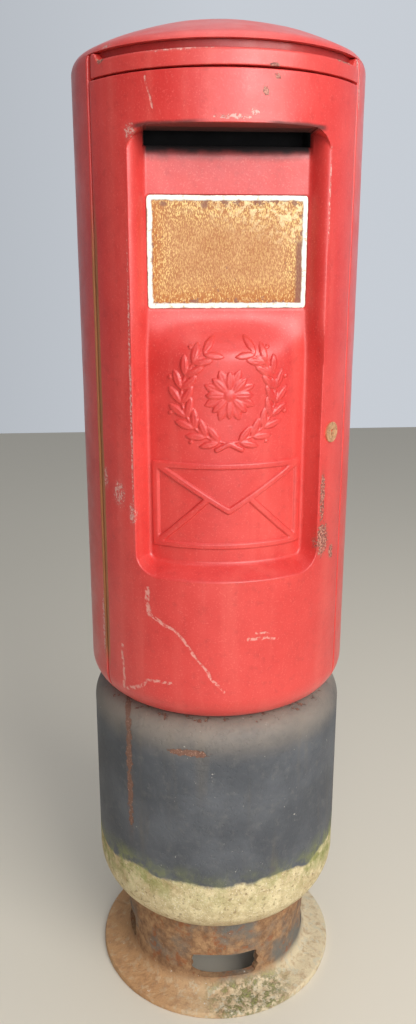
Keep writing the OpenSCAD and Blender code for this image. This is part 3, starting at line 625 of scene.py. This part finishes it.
def red_material(name, rust_spots=(), pale_mark_spots=(), strokes=(), crevice=None, painted_highlight=0.0, shade=0.0,
                 coat=0.5):
    """Old red gloss on iron: uneven colour and sheen, faint vertical weathering, and marks where it has
    rubbed to pale undercoat or rusted through. It can be paled by a painted highlight or darkened by painted
    shade, and a pale mark can be a painted highlight along an edge."""
    made, shader, where, parts = material(name)
    cloud = noise(where, 5.0, 4.0, 0.6)
    fine = noise(where, 70.0, 4.0, 0.65)
    streak = noise(where, 26.0, 3.0, 0.55, (1.0, 1.0, 0.07))
    colour = blend(span(cloud, 0.3, 0.7), srgb(200, 44, 40), srgb(216, 64, 58))
    colour = tint(colour, span(streak, 0.45, 0.8), 0.45, 222, 92, 82)
    colour = tint(colour, span(fine, 0.5, 0.8), 0.35, 164, 32, 30)
    colour = tint(colour, span(noise(where, 380.0, 2.0, 0.6), 0.56, 0.7), 0.3, 236, 120, 110)
    # Painted highlight: paler colour for surfaces that face the light from above.
    if painted_highlight:
        colour = blend(painted_highlight, colour, srgb(222, 110, 100))
    # Painted shade: the colour is darkened towards a deep red-brown.
    if shade:
        colour = blend(shade, colour, srgb(74, 12, 14))
    height = use_group("cast_skin", where, Waves=0.6, Peel=0.55, Pits=0.0)["Height"]
    rough = span(noise(where, 18.0, 4.0, 0.6), 0.3, 0.7, 0.30, 0.46)
    # Pale marks: chips to the undercoat, and on the body also a painted highlight along an edge.
    if pale_mark_spots:
        wear_and_highlight = most(*(spot(parts, place, size) for place, size in pale_mark_spots))
        pale = use_group("flaking", where, Region=wear_and_highlight, Amount=0.27, Scale=230.0)["Bare"]
        colour = tint(colour, wear_and_highlight, 0.3, 214, 104, 96)
        colour = tint(colour, pale, 0.7, 226, 178, 166)
        height = plus(height, times(pale, -0.8))
    if rust_spots:
        rust = most(*(spot(parts, place, size) for place, size in rust_spots))
        eaten = use_group("flaking", where, Region=rust, Amount=0.34, Scale=170.0)["Bare"]
        brown = blend(span(noise(where, 320.0, 3.0, 0.6), 0.4, 0.6), srgb(118, 54, 44), srgb(196, 132, 112))
        colour = tint(colour, rust, 0.4, 182, 78, 62)
        colour = blend(eaten, colour, brown)
        height = plus(height, times(eaten, -1.2))
        rough = most(rough, times(eaten, 0.85))
    if strokes:
        mark = scratches(where, strokes)
        colour = tint(colour, mark, 0.65, 226, 172, 158)
        height = plus(height, times(mark, -0.7))
        rough = most(rough, times(mark, 0.6))
    if crevice is not None:
        colour, rough = crevice(where, parts, colour, rough)
    fill(shader.inputs["Base Color"], colour)
    fill(shader.inputs["Roughness"], rough)
    shader.inputs["Coat Roughness"].default_value = 0.42
    shader.inputs["Coat Weight"].default_value = coat
    raise_surface(shader, height, 0.0005)
    return made


def hinge_crevice(where, parts, colour, rough):
    """Ochre dirt and moss along the hinge joint, thickest low down, on whatever lies within its width."""
    x, y, z = parts
    ax, ay = -body_r * math.sin(DOOR_HALF), -body_r * math.cos(DOOR_HALF)
    ax, ay = ax - 6 * MM * math.cos(DOOR_HALF), ay + 6 * MM * math.sin(DOOR_HALF)
    gap = calc("SQRT", plus(calc("POWER", calc("SUBTRACT", x, ax), 2.0),
                            calc("POWER", calc("SUBTRACT", y, ay), 2.0)))
    ragged = plus(gap, times(plus(noise(where, 60.0, 4.0, 0.6, (1, 1, 0.25)), -0.5), 0.006))
    near = span(ragged, 0.0072, 0.0105, 1.0, 0.0)
    where_high = times(span(z, 1.53, 1.38), span(z, 0.69, 0.74))
    dirt = times(near, where_high)
    ochre = blend(noise(where, 80.0, 4.0, 0.6, (1, 1, 0.2)), srgb(138, 74, 42), srgb(190, 124, 70))
    return blend(dirt, colour, ochre), most(rough, times(dirt, 0.9))


def door_dirt_and_shade(where, parts, colour, rough):
    """The hinge joint's dirt, and painted shade round the letter slot: over its lower lip, under the
    recess's head and in the recess's upper corners.
    """
    x, y, z = parts
    colour, rough = hinge_crevice(where, parts, colour, rough)
    shake = times(plus(noise(where, 30.0, 4.0, 0.6), -0.5), 0.014)
    across = span(apart(x), SLOT_HALF + 0.003, SLOT_HALF - 0.006)
    inside = span(y, -0.205, -0.190)
    height = plus(z, shake)
    # Painted shade over the slot's lower lip, where it rolls inward under the head.
    lip_painted_shade = times(span(height, SLOT_LOW - 0.026, SLOT_LOW - 0.004), across, inside)
    level = plus(z, times(shake, 0.3))
    # Painted shade, near black, on the underside of the recess's head.
    ceiling = times(span(z, HEAD_Z - 0.006, HEAD_Z - 0.001), span(y, -0.2405, -0.232),
                    span(apart(x), 0.150, 0.136), span(level, HEAD_Z + 0.006, HEAD_Z + 0.001))
    dark = most(lip_painted_shade, times(ceiling, 0.85))
    colour = blend(dark, colour, blend(ceiling, srgb(20, 10, 12), srgb(64, 26, 20)))
    # Painted shade in the recess's upper corners beside the slot's ends.
    corner = times(span(apart(x), 0.124, 0.128), span(z, HEAD_Z - 0.06, HEAD_Z),
                   span(y, -0.190, -0.166), span(apart(x), 0.150, 0.140),
                   span(z, HEAD_Z + 0.003, HEAD_Z - 0.001))
    colour = tint(colour, corner, 0.6, 90, 20, 20)
    return colour, most(rough, times(dark, 0.9))


# The last spot, a tall thin line down the hinge side's edge, is a painted highlight on the rounded arris; the
# others are chips.
body_chips_and_highlight = [on_body(-62, 0.78, 0.014, 0.10), on_body(60, 1.66, 0.006, 0.05),
              on_body(-60.3, 1.3, 0.003, 0.4)]
body_paint = red_material("body_red", pale_mark_spots=body_chips_and_highlight, crevice=hinge_crevice)
for piece in (body_wall, ring):
    piece.data.materials.append(body_paint)
    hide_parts("body_shell")
    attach(piece, "carcass")

# ---- Roof
# A shallow iron dome with a rounded edge. It is bolted down from inside, and its lip overhangs the air slot.
ROOF_BORE = 190 * MM
apex_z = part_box("roof")[1][2]
edge_c = body_r - ROOF_ROUND
dome_rise = apex_z - edge_z
dome_r = (edge_c ** 2 + dome_rise ** 2 - ROOF_ROUND ** 2) / (2 * (dome_rise - ROOF_ROUND))
tilt = math.degrees(math.atan2(edge_c, dome_r - dome_rise))
lip_a = math.degrees(math.asin(12 * MM / ROOF_ROUND))
dome = np.concatenate([arc(edge_c, edge_z, ROOF_ROUND, lip_a, 90 - tilt, 14),
                       arc(0, apex_z - dome_r, dome_r, 90 - tilt, 90, 44)[1:]])
dome[-1, 0] = 0.0
bore_turn = math.degrees(math.acos(ROOF_BORE / (dome_r - BODY_WALL)))
ceiling = np.concatenate([np.linspace([238 * MM, joint_z], [ROOF_BORE, joint_z], 14),
                          arc(0, apex_z - dome_r, dome_r - BODY_WALL, bore_turn, 90, 44)[1:]])
ceiling[-1, 0] = 0.0
skin = around(dome[:, :1], turns[None, :], dome[:, 1:])
skin[1:-1, :, 2] -= 0.3 * MM * np.abs(ripple(skin[1:-1], 0.12, 21))
roof = thick_sheet("roof_dome", skin, around(ceiling[:, :1], turns[None, :], ceiling[:, 1:]), closed=True)
roof_chips = [on_body(-50, joint_z + 4 * MM, 0.02, 0.006)]
roof_rust = [((-0.01, -0.12, apex_z - 0.02), (0.035, 0.03, 0.02))]
# The dome's red is paled by a painted highlight from the light above.
roof.data.materials.append(red_material("roof_red", rust_spots=roof_rust, pale_mark_spots=roof_chips, painted_highlight=0.15))
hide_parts("roof")
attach(roof, "carcass")

# ---- Head band
# A curved iron bar across the top of the doorway. Its upstand closes the back of the air slot, and its
# ends rise to the roof.
band_out = body_r - 0.4 * MM
EAR = 4.2 * DEG
angles = steps([-DOOR_HALF, -DOOR_HALF + 6 * DEG, DOOR_HALF - 6 * DEG, DOOR_HALF], [17, 119, 17])
from_end = DOOR_HALF - np.abs(angles)
end_rise = np.where(from_end < EAR, 1 - np.clip(from_end / EAR, 0, 1) ** 3, 0)
band_top = band_z + BAND + (AIR_SLOT - 0.6 * MM) * end_rise
corner = 4.5 * MM
bow = np.linspace(0, math.pi / 2, 9)
shape_r = np.concatenate([[band_out - 1.5 * MM, band_out - 0.4 * MM, band_out], np.full(8, band_out),
                          band_out - corner + corner * np.cos(bow),
                          [body_r - 9 * MM, body_r - BODY_WALL - 0.2 * MM]])
lift = np.concatenate([[0, 0.3, 1.2], np.linspace(2, 14, 8), 0 * bow, [0, 0]]) * MM
from_top = np.concatenate([np.zeros(11), -corner + corner * np.sin(bow), [0, 0]])
is_top = np.concatenate([np.zeros(11, bool), np.ones(11, bool)])
height = np.where(is_top[:, None], band_top[None, :] + from_top[:, None],
                  band_z + lift[:, None] + 0 * band_top[None, :])
edge = eased(from_end * body_r, 1.5 * MM)[None, :] * (shape_r[:, None] > 0.235)
outer = around(np.minimum(shape_r[:, None], body_radius(height)) - edge, angles[None, :], height)
inner_h = np.where(is_top[:, None], band_top[None, :] - 0.6 * MM,
                   band_z + lift[:, None] + 0 * band_top[None, :])
inner = around(body_r - BODY_WALL - 0.4 * MM, angles[None, :], inner_h)
band = thick_sheet("head_band_bar", outer, inner, sharp=50)

tab_half = DOOR_HALF + 9 * DEG
angles = np.linspace(-tab_half, tab_half, 130)[None, :]
levels = np.linspace(band_z, joint_z - 0.5 * MM, 12)[:, None]
upstand = thick_sheet("head_band_upstand", around(body_r - BODY_WALL - 0.5 * MM, angles, levels),
                      around(body_r - BODY_WALL - 10 * MM, angles, levels))
band_chips = [on_body(-20, band_z + BAND, 0.09, 0.006), on_body(57, joint_z - 10 * MM, 0.008, 0.012)]
band_rust = [on_body(-52, joint_z - 10 * MM, 0.018, 0.012), on_body(14, band_z + 2 * MM, 0.012, 0.005),
             on_body(46, band_z + BAND, 0.03, 0.006)]
# The band's red is paled by a painted highlight from the light above.
band_paint = red_material("band_red", rust_spots=band_rust, pale_mark_spots=band_chips, painted_highlight=0.12)
# The air slot's upstand is darkened with painted shade, as the back of the slot lies in shadow.
for piece, finish in ((band, band_paint), (upstand, red_material("air_slot_painted_shade_red", shade=0.5, coat=0.05))):
    piece.data.materials.append(finish)
    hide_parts("head_band")
    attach(piece, "carcass")

# ---- Door
# The door casting. Its face lies flush with the body and has a deep recess with a letter slot under its
# head. The hinge edge is a round bead, and the other edges are eased.
RECESS_HALF = 154 * MM
SILL_Z = seat_z + 267 * MM
HEAD_Z = joint_z - 109.5 * MM
FACE_R = body_r - 35.5 * MM
FLAT_Y = body_r - 79.5 * MM
SLOT_HALF = 129 * MM
SLOT_LOW = HEAD_Z - 21 * MM
LIP_DROP = 19 * MM
PLATE_LOW = SLOT_LOW - 71 * MM - 170 * MM
STEP_Z = PLATE_LOW - 1 * MM
LEDGE = 84 * MM
PLATE_H = 170 * MM
PLATE_W = 252 * MM
POCKET_GAP = 1 * MM
LOW_CORNER = 36 * MM
TOP_CORNER = 34 * MM


def rounded_inside(x, z, half, low, high, r_low, r_high):
    """Distance inside a rectangle with rounded corners, and the way to its nearest side as (x, down, up)."""
    mid = (low + high) / 2
    r = np.where(z < mid, r_low, r_high)
    px = np.abs(x) - (half - r)
    pz = np.where(z < mid, low - z, z - high) + r
    corner = (px > 0) & (pz > 0)
    length = np.hypot(px, pz)
    d = np.where(corner, r - length, r - np.maximum(px, pz))
    nx = np.where(corner, px / np.maximum(length, 1e-9), px > pz)
    nz = np.where(corner, pz / np.maximum(length, 1e-9), px <= pz)
    return d, nx, np.where(z < mid, nz, 0), np.where(z < mid, 0, nz)


def recess_share(x, z, grow=0.0):
    """0 on the door's outer face and 1 on the recess's back: a crisp arris, a sloping side, a soft foot."""
    d, side, down, up = rounded_inside(x, z, RECESS_HALF + grow, SILL_Z - grow, HEAD_Z + grow,
                                       LOW_CORNER, TOP_CORNER)
    slope = 25 * MM * np.abs(side) ** 2 + 20 * MM * down ** 2 + 2.0 * MM * up ** 2
    upper = np.minimum((RECESS_HALF + grow - np.abs(x)) / (25 * MM), d / (2.5 * MM))
    t = np.where(z > (SILL_Z + HEAD_Z) / 2, upper, d / slope)
    s = np.clip(t, 0, 1)
    crisp = np.clip((t + 0.06) / 0.12, 0, 1)
    face = np.where(t < 0.06, 0.06 * crisp ** 2, s)
    foot = np.clip((1.18 - t) / 0.36, 0, 1)
    return np.where(t > 0.82, 1 - 0.18 * foot ** 2, face) if grow == 0 else s


def recess_back(x, z, shift=0.0):
    """Depth of the recess's back as y: curved below, flat above, with a sloping step between them.
    Near the slot it rolls inward to make the lower lip."""
    curved = -np.sqrt(np.maximum((FACE_R - shift) ** 2 - x ** 2, 1e-6))
    k = np.clip((z - (STEP_Z - LEDGE)) / LEDGE, 0, 1)
    k = k ** 3 * (k * (6 * k - 15) + 10)
    flat = -(FLAT_Y - shift) + 0 * x
    y = curved + (np.maximum(flat, curved) - curved) * k
    y = np.where((k > 0) & (curved > flat), flat + (curved - flat) * (1 - k), y)
    roll = np.clip((z - (SLOT_LOW - LIP_DROP)) / LIP_DROP, 0, 1)
    inside = 11.5 * MM * (1 - np.sqrt(1 - roll ** 2))
    return y + np.where(np.abs(x) < SLOT_HALF + 1 * MM, inside, 0) * (shift == 0)


def door_face(x, z):
    """y of the door's outer side over its front, at the full radius of the body."""
    outside = -np.sqrt(np.maximum(body_r ** 2 - x ** 2, 1e-6))
    share = recess_share(x, z)
    y = outside + (recess_back(x, z) - outside) * share
    half, high = PLATE_W / 2 + POCKET_GAP, PLATE_H / 2 + POCKET_GAP
    pocket = rounded_inside(x, z - PLATE_LOW - PLATE_H / 2, half, -high, high, 7 * MM, 7 * MM)[0]
    return y + 2.5 * MM * np.clip(pocket / (1.2 * MM), 0, 1)


def door_inside(x, z):
    """y of the door's inner side: a wall thickness behind the face, and a wall round the recess."""
    g = BODY_WALL
    outside = -np.sqrt(np.maximum((body_r - g) ** 2 - x ** 2, 1e-6))
    share = recess_share(x, z, g)
    pan = np.where(z > STEP_Z, -(FLAT_Y - g), recess_back(x, z, g))
    return outside + (pan - outside) * share


right_x = body_r * math.sin(DOOR_HALF)
columns = steps([-right_x, -160 * MM, -120 * MM, 120 * MM, 160 * MM, right_x], [14, 42, 62, 42, 18])
stops = [round_z, SILL_Z - 6 * MM, SILL_Z + 30 * MM, STEP_Z - LEDGE - 4 * MM, PLATE_LOW + 8 * MM,
         PLATE_LOW + PLATE_H - 8 * MM, PLATE_LOW + PLATE_H + 8 * MM, SLOT_LOW - LIP_DROP, SLOT_LOW,
         HEAD_Z - 0.01 * MM, HEAD_Z + 3 * MM, door_top_z - 4 * MM]
foot_turn = math.acos((round_z - door_low_z) / FOOT_ROUND)
rows = np.concatenate([round_z - FOOT_ROUND * np.cos(np.linspace(foot_turn, math.pi / 2, 24)),
                       steps(stops, [30, 34, 42, 30, 20, 12, 8, 14, 16, 6, 10])[1:],
                       door_top_z - np.array([3, 2, 1.2, 0.6, 0.2, 0]) * MM])
x, z = np.meshgrid(columns, rows)
scale = body_radius(z) / body_r
front = np.stack([x * scale, door_face(x, z) * scale, z], -1)
bend = (eased(z - door_low_z, 2 * MM) + eased(door_top_z - z, 2.2 * MM)
        + eased((right_x - x) / math.cos(DOOR_HALF), 2 * MM))
radial = front * [1, 1, 0]
radial /= np.linalg.norm(radial, axis=-1, keepdims=True)
front -= radial * (bend + CAST_WAVE * np.abs(ripple(front, 0.13, 31)))[..., None]
lining_r = body_r - BODY_WALL
inner_scale = inside_radius(np.maximum(z, seat_z + BODY_WALL + 1 * MM)) / lining_r
flare = np.interp(np.abs(x), [150 * MM, right_x], [150 * MM, lining_r * math.sin(DOOR_HALF)])
xi = np.where(np.abs(x) < 150 * MM, x, np.sign(x) * flare)
inside = np.stack([xi * inner_scale, door_inside(xi, z) * inner_scale, z], -1)

bead_out = np.array([-math.sin(DOOR_HALF), -math.cos(DOOR_HALF)])
bead_side = np.array([-math.cos(DOOR_HALF), math.sin(DOOR_HALF)])


def bead_point(polar, z):
    """A point on the hinge bead at a polar angle from outward, turning away from the door."""
    ring = np.cos(polar)[:, None] * bead_out + np.sin(polar)[:, None] * bead_side
    flat = (hinge_in * bead_out + HINGE_R * ring)[None] * (body_radius(z) / body_r)[:, None, None]
    return np.concatenate([flat, np.broadcast_to(z[:, None, None], (len(z), len(polar), 1))], -1)


outer_bead = bead_point(np.radians(np.linspace(98, 20, 9)), rows)
inner_bead = bead_point(np.radians(np.linspace(102, 215, 9)), rows)
front = np.concatenate([outer_bead, front], 1)
inside = np.concatenate([inner_bead, inside], 1)
all_x = np.concatenate([np.full(9, -1.0), columns])
mid_x, mid_z = (all_x[1:] + all_x[:-1]) / 2, (rows[1:] + rows[:-1]) / 2
in_slot = (np.abs(mid_x)[None, :] < SLOT_HALF) & ((mid_z > SLOT_LOW) & (mid_z < HEAD_Z - 0.02 * MM))[:, None]
door = thick_sheet("door_casting", front, inside, ~in_slot, sharp=55)

door_marks = [((-0.135, 0.872), (-0.133, 0.826), 0.0055), ((-0.133, 0.826), (-0.092, 0.803), 0.004),
              ((-0.092, 0.803), (-0.059, 0.764), 0.0045), ((-0.059, 0.764), (-0.010, 0.693), 0.003),
              ((-0.183, 0.755), (-0.178, 0.668), 0.003), ((-0.172, 0.671), (-0.135, 0.704), 0.004),
              ((-0.135, 0.704), (-0.098, 0.705), 0.0035), ((0.030, 0.792), (0.083, 0.786), 0.004),
              ((0.045, 0.801), (0.066, 0.796), 0.003), ((-0.125, 1.655), (-0.118, 1.615), 0.0025)]
door_rust = [on_body(43, 0.945, 0.026, 0.045), on_body(42, 1.02, 0.010, 0.07),
             on_body(50, 0.915, 0.012, 0.02), on_body(11, 1.635, 0.007, 0.010),
             on_body(15, 1.655, 0.010, 0.007)]
door_chips = [on_body(-57, 1.05, 0.012, 0.03), on_body(-48, 1.03, 0.022, 0.035),
              on_body(-41, 1.00, 0.012, 0.03), on_body(-40.5, 1.20, 0.0035, 0.36),
              on_body(-38, 1.585, 0.016, 0.02), on_body(0, 1.60, 0.05, 0.006),
              on_body(7, 1.607, 0.012, 0.008), on_body(40, 1.50, 0.003, 0.10),
              on_body(-57, 1.68, 0.01, 0.03)]
door.data.materials.append(red_material("door_red", rust_spots=door_rust, pale_mark_spots=door_chips,
                                        strokes=door_marks, crevice=door_dirt_and_shade))
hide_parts("door")
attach(door, "door_leaf")

# ---- Ornament
# The raised work on the lower face of the recess, part of the door casting: a wreath of leaves round a
# rosette, and an envelope drawn in flat strokes below it.
panel_x = np.linspace(-130 * MM, 130 * MM, 168)
panel_z = np.linspace(SILL_Z + 24 * MM, STEP_Z - 38 * MM, 250)
WREATH_Z = (STEP_Z + SILL_Z) / 2 + 85 * MM
ENVELOPE_Z = SILL_Z + 119 * MM
WREATH_R = 76 * MM
BERRY_R = 97 * MM
RELIEF = 4 * MM
SUNK = 1.2 * MM


def plateau(distance, bevel):
    """A flat-topped stroke: 1 where distance is well inside (positive), falling to 0 over a bevel."""
    t = np.clip(distance / bevel, 0, 1)
    return np.sin(t * math.pi / 2)


def stroke(x, z, a, b, half, bevel):
    """A straight bar with round ends from a to b."""
    ax, az = a
    dx, dz = b[0] - ax, b[1] - az
    t = np.clip(((x - ax) * dx + (z - az) * dz) / (dx * dx + dz * dz), 0, 1)
    return plateau(half - np.hypot(x - ax - t * dx, z - az - t * dz), bevel)


def leaf(x, z, cx, cz, angle, length, width):
    """A pointed leaf, domed across, with a groove along its rib."""
    c, s = math.cos(angle), math.sin(angle)
    along = ((x - cx) * c + (z - cz) * s) / (length / 2)
    across = (-(x - cx) * s + (z - cz) * c) / (width / 2)
    side = np.maximum(1 - along ** 2, 0) ** 0.8
    body = np.clip(1 - (across / np.maximum(side, 1e-4)) ** 2, 0, 1) * (np.abs(along) < 1)
    return np.sqrt(body) * (1 - 0.3 * np.exp(-(across / 0.12) ** 2)) * side ** 0.3


def ball(x, z, cx, cz, r):
    """A round berry or boss."""
    return np.sqrt(np.clip(1 - ((x - cx) ** 2 + (z - cz) ** 2) / r ** 2, 0, 1))


def ornament(x, z):
    """Height of the ornament from 0 to about 1: the greatest of all its leaves, petals and strokes."""
    dz, ez = z - WREATH_Z, z - ENVELOPE_Z
    stem = plateau(3 * MM - np.abs(np.hypot(x, dz) - WREATH_R), 2.5 * MM) * (dz < 62 * MM)
    shapes = [0 * x, 0.45 * stem, 1.1 * ball(x, dz, 0, 0, 11 * MM)]
    w, t = 118 * MM, 68 * MM
    lines = [((-w, t), (w, t)), ((-w, -t), (w, -t))]
    for side in (-1, 1):
        for k in range(9):
            a = math.radians(-90 + side * (22 + 17 * k))
            c, s = math.cos(a), math.sin(a)
            for tall, r, tip in ((0.95, WREATH_R + 10 * MM, 34), (0.8, WREATH_R - 9 * MM, -30)):
                lean = a + side * math.radians(90 - tip)
                shapes.append(tall * leaf(x, dz, r * c, r * s, lean, 34 * MM, 13 * MM))
            if k % 2:
                shapes.append(0.7 * ball(x, dz, BERRY_R * c, BERRY_R * s, 4 * MM))
        shapes.append(0.9 * stroke(x, dz, (0, -78 * MM), (side * 20 * MM, -88 * MM), 5 * MM, 3 * MM))
        lines += [((side * w, -t), (side * w, t)), ((side * w, t), (0, -8 * MM)),
                  ((side * w, -t), (side * 34 * MM, 14 * MM))]
    for k in range(16):
        a = (k + 1) * math.pi / 8
        tall, r, width = (0.9, 22 * MM, 15 * MM) if k % 2 else (0.6, 27 * MM, 17 * MM)
        shapes.append(tall * leaf(x, dz, r * math.cos(a), r * math.sin(a), a, 34 * MM, width))
    shapes += [stroke(x, ez, a, b, 6 * MM, 2.6 * MM) for a, b in lines]
    return np.maximum.reduce(shapes)


x, z = np.meshgrid(panel_x, panel_z)
edge_fade = np.clip((128 * MM - np.abs(x)) / (3 * MM), 0, 1)
raised = RELIEF * ornament(x, z) * edge_fade
base = np.stack([x, recess_back(x, z), z], -1)
outward = base * [1, 1, 0]
outward /= np.linalg.norm(outward, axis=-1, keepdims=True)
lift = raised - SUNK * np.exp(-raised / (0.4 * MM)) + 0.12 * MM * ripple(base, 0.05, 41) * (raised > 0)
panel_front = base + outward * lift[..., None]
panel_back = base - outward * 4 * MM
panel = thick_sheet("door_ornament", panel_front, panel_back, sharp=75)
panel.data.materials.append(red_material("ornament_red"))
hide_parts("door")
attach(panel, "door_leaf")

# ---- Notice plate
# A thin steel plate in a shallow pocket. Its white enamel has gone except for a border, and the rest is
# rusted to a speckled tan.
plate_low, plate_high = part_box("notice_plate")


def plate_outline(inset, n=8):
    """Points round the plate's edge, drawn in by inset, with round corners, as an (n, 2) array of x and z."""
    r = 6 * MM - inset * 0.5
    hx, hz = PLATE_W / 2 - inset - r, PLATE_H / 2 - inset - r
    quarters = ((1, 1, 0), (-1, 1, 90), (-1, -1, 180), (1, -1, 270))
    return np.concatenate([arc(sx * hx, sz * hz, r, a, a + 90, n) for sx, sz, a in quarters])


mid_z = (plate_low[2] + plate_high[2]) / 2
face_y, back_y = plate_low[1], plate_high[1]
loops = ((0.4, 0.3), (1.2, 0), (9, 0), (10.5, 0.5), (30, 0.6), (60, 0.6), (84.5, 0.6))
loops = [(0, back_y), (0, face_y + 1.2 * MM)] + [(inset * MM, face_y + drop * MM) for inset, drop in loops]
grid = []
for inset, y in loops:
    p = plate_outline(min(inset, 5 * MM))
    past = max(inset - 5 * MM, 0)
    x_share, z_share = 1 - past / (PLATE_W / 2 - 5 * MM), 1 - past / (PLATE_H / 2 - 5 * MM)
    grid.append(np.stack([p[:, 0] * x_share, np.full(len(p), y), mid_z + p[:, 1] * z_share], -1))
grid = np.array(grid)
count = grid.shape[1]
index = np.arange(grid.shape[0] * count).reshape(grid.shape[:2])
nxt = np.roll(index, -1, axis=1)
quads = np.stack([index[:-1], index[1:], nxt[1:], nxt[:-1]], -1).reshape(-1, 4)
plate = as_object("notice_plate_enamel", grid, [quads, index[-1][None, :], index[0][::-1][None, :]])
finish_mesh(plate, 35)


def plate_material():
    """White enamel left along the border, and a rusty face: tan with fine upright specks, darker stains."""
    made, shader, where, (x, y, z) = material("plate_finish")
    fine = noise(where, 420.0, 3.0, 0.7, (1.0, 1.0, 0.38))
    speck = noise(where, 780.0, 2.0, 0.6, (1.0, 1.0, 0.32))
    cloud = noise(where, 16.0, 5.0, 0.65)
    ragged = times(plus(noise(where, 70.0, 4.0, 0.65), -0.5), 0.006)
    from_side = calc("SUBTRACT", PLATE_W / 2, apart(x))
    from_top = calc("SUBTRACT", PLATE_H / 2, apart(z, mid_z))
    inward = plus(calc("MINIMUM", from_side, from_top), ragged)
    tan = blend(span(cloud, 0.3, 0.72), srgb(182, 124, 78), srgb(204, 154, 108))
    tan = tint(tan, span(fine, 0.46, 0.6, 1.0, 0.0), 0.6, 160, 96, 52)
    edges = span(inward, 0.06, 0.012, 0.35, 1.0)
    tan = blend(times(span(speck, 0.5, 0.58), edges), tan, srgb(240, 206, 136))
    low = most(span(z, mid_z - 0.03, mid_z - 0.08), span(x, -0.09, -0.12))
    tan = blend(times(low, span(fine, 0.35, 0.6)), tan, srgb(172, 96, 30))
    pale = times(span(plus(z, times(x, 0.35)), mid_z + 0.02, mid_z + 0.1),
                 span(noise(where, 110.0, 5.0, 0.7), 0.48, 0.58))
    tan = tint(tan, pale, 0.75, 246, 226, 176)
    near_edge = span(inward, 0.008, 0.022, 0.13, 0.0)
    stain = span(plus(noise(where, 90.0, 5.0, 0.7), near_edge), 0.66, 0.70)
    wedge = times(span(x, 0.106, 0.112), span(z, mid_z + 0.03, mid_z + 0.01))
    spots = most(spot((x, y, z), (-0.036, face_y, mid_z + 0.071), (0.008, 0.02, 0.008)),
                 spot((x, y, z), (-0.100, face_y, mid_z + 0.072), (0.008, 0.02, 0.005)))
    stain = most(stain, most(wedge, spots))
    tan = tint(tan, stain, 0.85, 134, 86, 74)
    enamel = blend(span(noise(where, 90.0, 4.0, 0.7), 0.56, 0.7), srgb(240, 238, 224), srgb(206, 172, 136))
    enamel = blend(span(inward, 0.0060, 0.0085, 0.0, 0.7), enamel, srgb(150, 134, 118))
    worn = span(inward, 0.0078, 0.0092)
    colour = blend(worn, enamel, tan)
    rim = span(inward, 0.0002, 0.0012, 1.0, 0.0)
    colour = tint(colour, rim, 0.8, 120, 74, 58)
    fill(shader.inputs["Base Color"], colour)
    fill(shader.inputs["Roughness"], span(worn, 0.0, 1.0, 0.25, 0.75))
    height = plus(times(plus(speck, fine), worn), times(worn, -1.5))
    raise_surface(shader, height, 0.00035)
    return made


plate.data.materials.append(plate_material())
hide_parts("notice_plate")
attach(plate, "door_leaf")


# ---- Lock
# A round brass nose set in the door, with a turning core that has the keyway. The case, bolt and keep are
# inside and keep their working shapes.
def brass_material():
    """Tarnished brass: brown and pink patches over yellow, with fine rubbing."""
    made, shader, where, _ = material("tarnished_brass")
    cloud = noise(where, 90.0, 5.0, 0.65)
    colour = blend(span(cloud, 0.35, 0.65), srgb(190, 132, 96), srgb(226, 178, 132))
    colour = blend(span(noise(where, 260.0, 4.0, 0.7), 0.58, 0.7), colour, srgb(104, 66, 48))
    fill(shader.inputs["Base Color"], colour)
    shader.inputs["Metallic"].default_value = 0.45
    fill(shader.inputs["Roughness"], span(cloud, 0.3, 0.7, 0.34, 0.55))
    raise_surface(shader, noise(where, 500.0, 3.0, 0.6), 0.00015)
    return made


def metal_material(name, light, dark, scale, metallic, rough, rust=0.0):
    """A working metal surface: two tones of cloud, fine grain, and rust where asked."""
    made, shader, where, _ = material(name)
    cloud = noise(where, scale, 5.0, 0.65)
    colour = blend(span(cloud, 0.35, 0.65), dark, light)
    if rust:
        eaten = span(noise(where, scale * 3.0, 5.0, 0.7), 0.62 - rust * 0.3, 0.70 - rust * 0.3)
        colour = blend(eaten, colour, blend(cloud, srgb(110, 62, 38), srgb(150, 92, 58)))
    fill(shader.inputs["Base Color"], colour)
    shader.inputs["Metallic"].default_value = metallic
    fill(shader.inputs["Roughness"], span(cloud, 0.3, 0.7, rough - 0.08, rough + 0.1))
    raise_surface(shader, noise(where, scale * 12.0, 3.0, 0.6), 0.0003)
    return made


def repaint(finish, *names):
    """Gives CAD nodes a finished material."""
    for name in names:
        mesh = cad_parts[name].data
        mesh.materials.clear()
        mesh.materials.append(finish)


repaint(brass_material(), "lock_nose", "key_barrel", "lock_case")

# ---- Fittings
# What the box holds inside: iron brackets, the galvanised letter cage, zinc sheet, bright rods and rusty
# fixings.
repaint(metal_material("raw_iron", srgb(110, 92, 80), srgb(74, 60, 52), 40.0, 0.2, 0.7, 0.5),
        "hinge_brackets", "lock_keep", "cage_brackets", "board_brackets")
repaint(metal_material("galvanised_wire", srgb(186, 190, 192), srgb(140, 146, 150), 60.0, 0.8, 0.45, 0.1),
        "cage_hoops", "cage_bars")
repaint(metal_material("zinc_sheet", srgb(178, 182, 186), srgb(140, 146, 152), 24.0, 0.7, 0.5, 0.15),
        "floor_plate", "letter_board")
# The letter chute is near black as painted shade, since the inside of the closed box is dark.
repaint(metal_material("chute_painted_shade_black", srgb(26, 25, 26), srgb(14, 13, 14), 30.0, 0.0, 0.8), "letter_chute")
repaint(metal_material("bright_rod", srgb(190, 190, 188), srgb(150, 150, 148), 80.0, 0.9, 0.35, 0.1),
        "hinge_pins", "board_rod", "lock_bolt")
repaint(metal_material("rusty_fixings", srgb(120, 96, 76), srgb(84, 66, 54), 120.0, 0.3, 0.7, 0.6),
        "base_bolts", "roof_bolts", "head_screws", "hinge_screws", "keep_screws", "plate_studs",
        "chute_screws", "lock_screws")
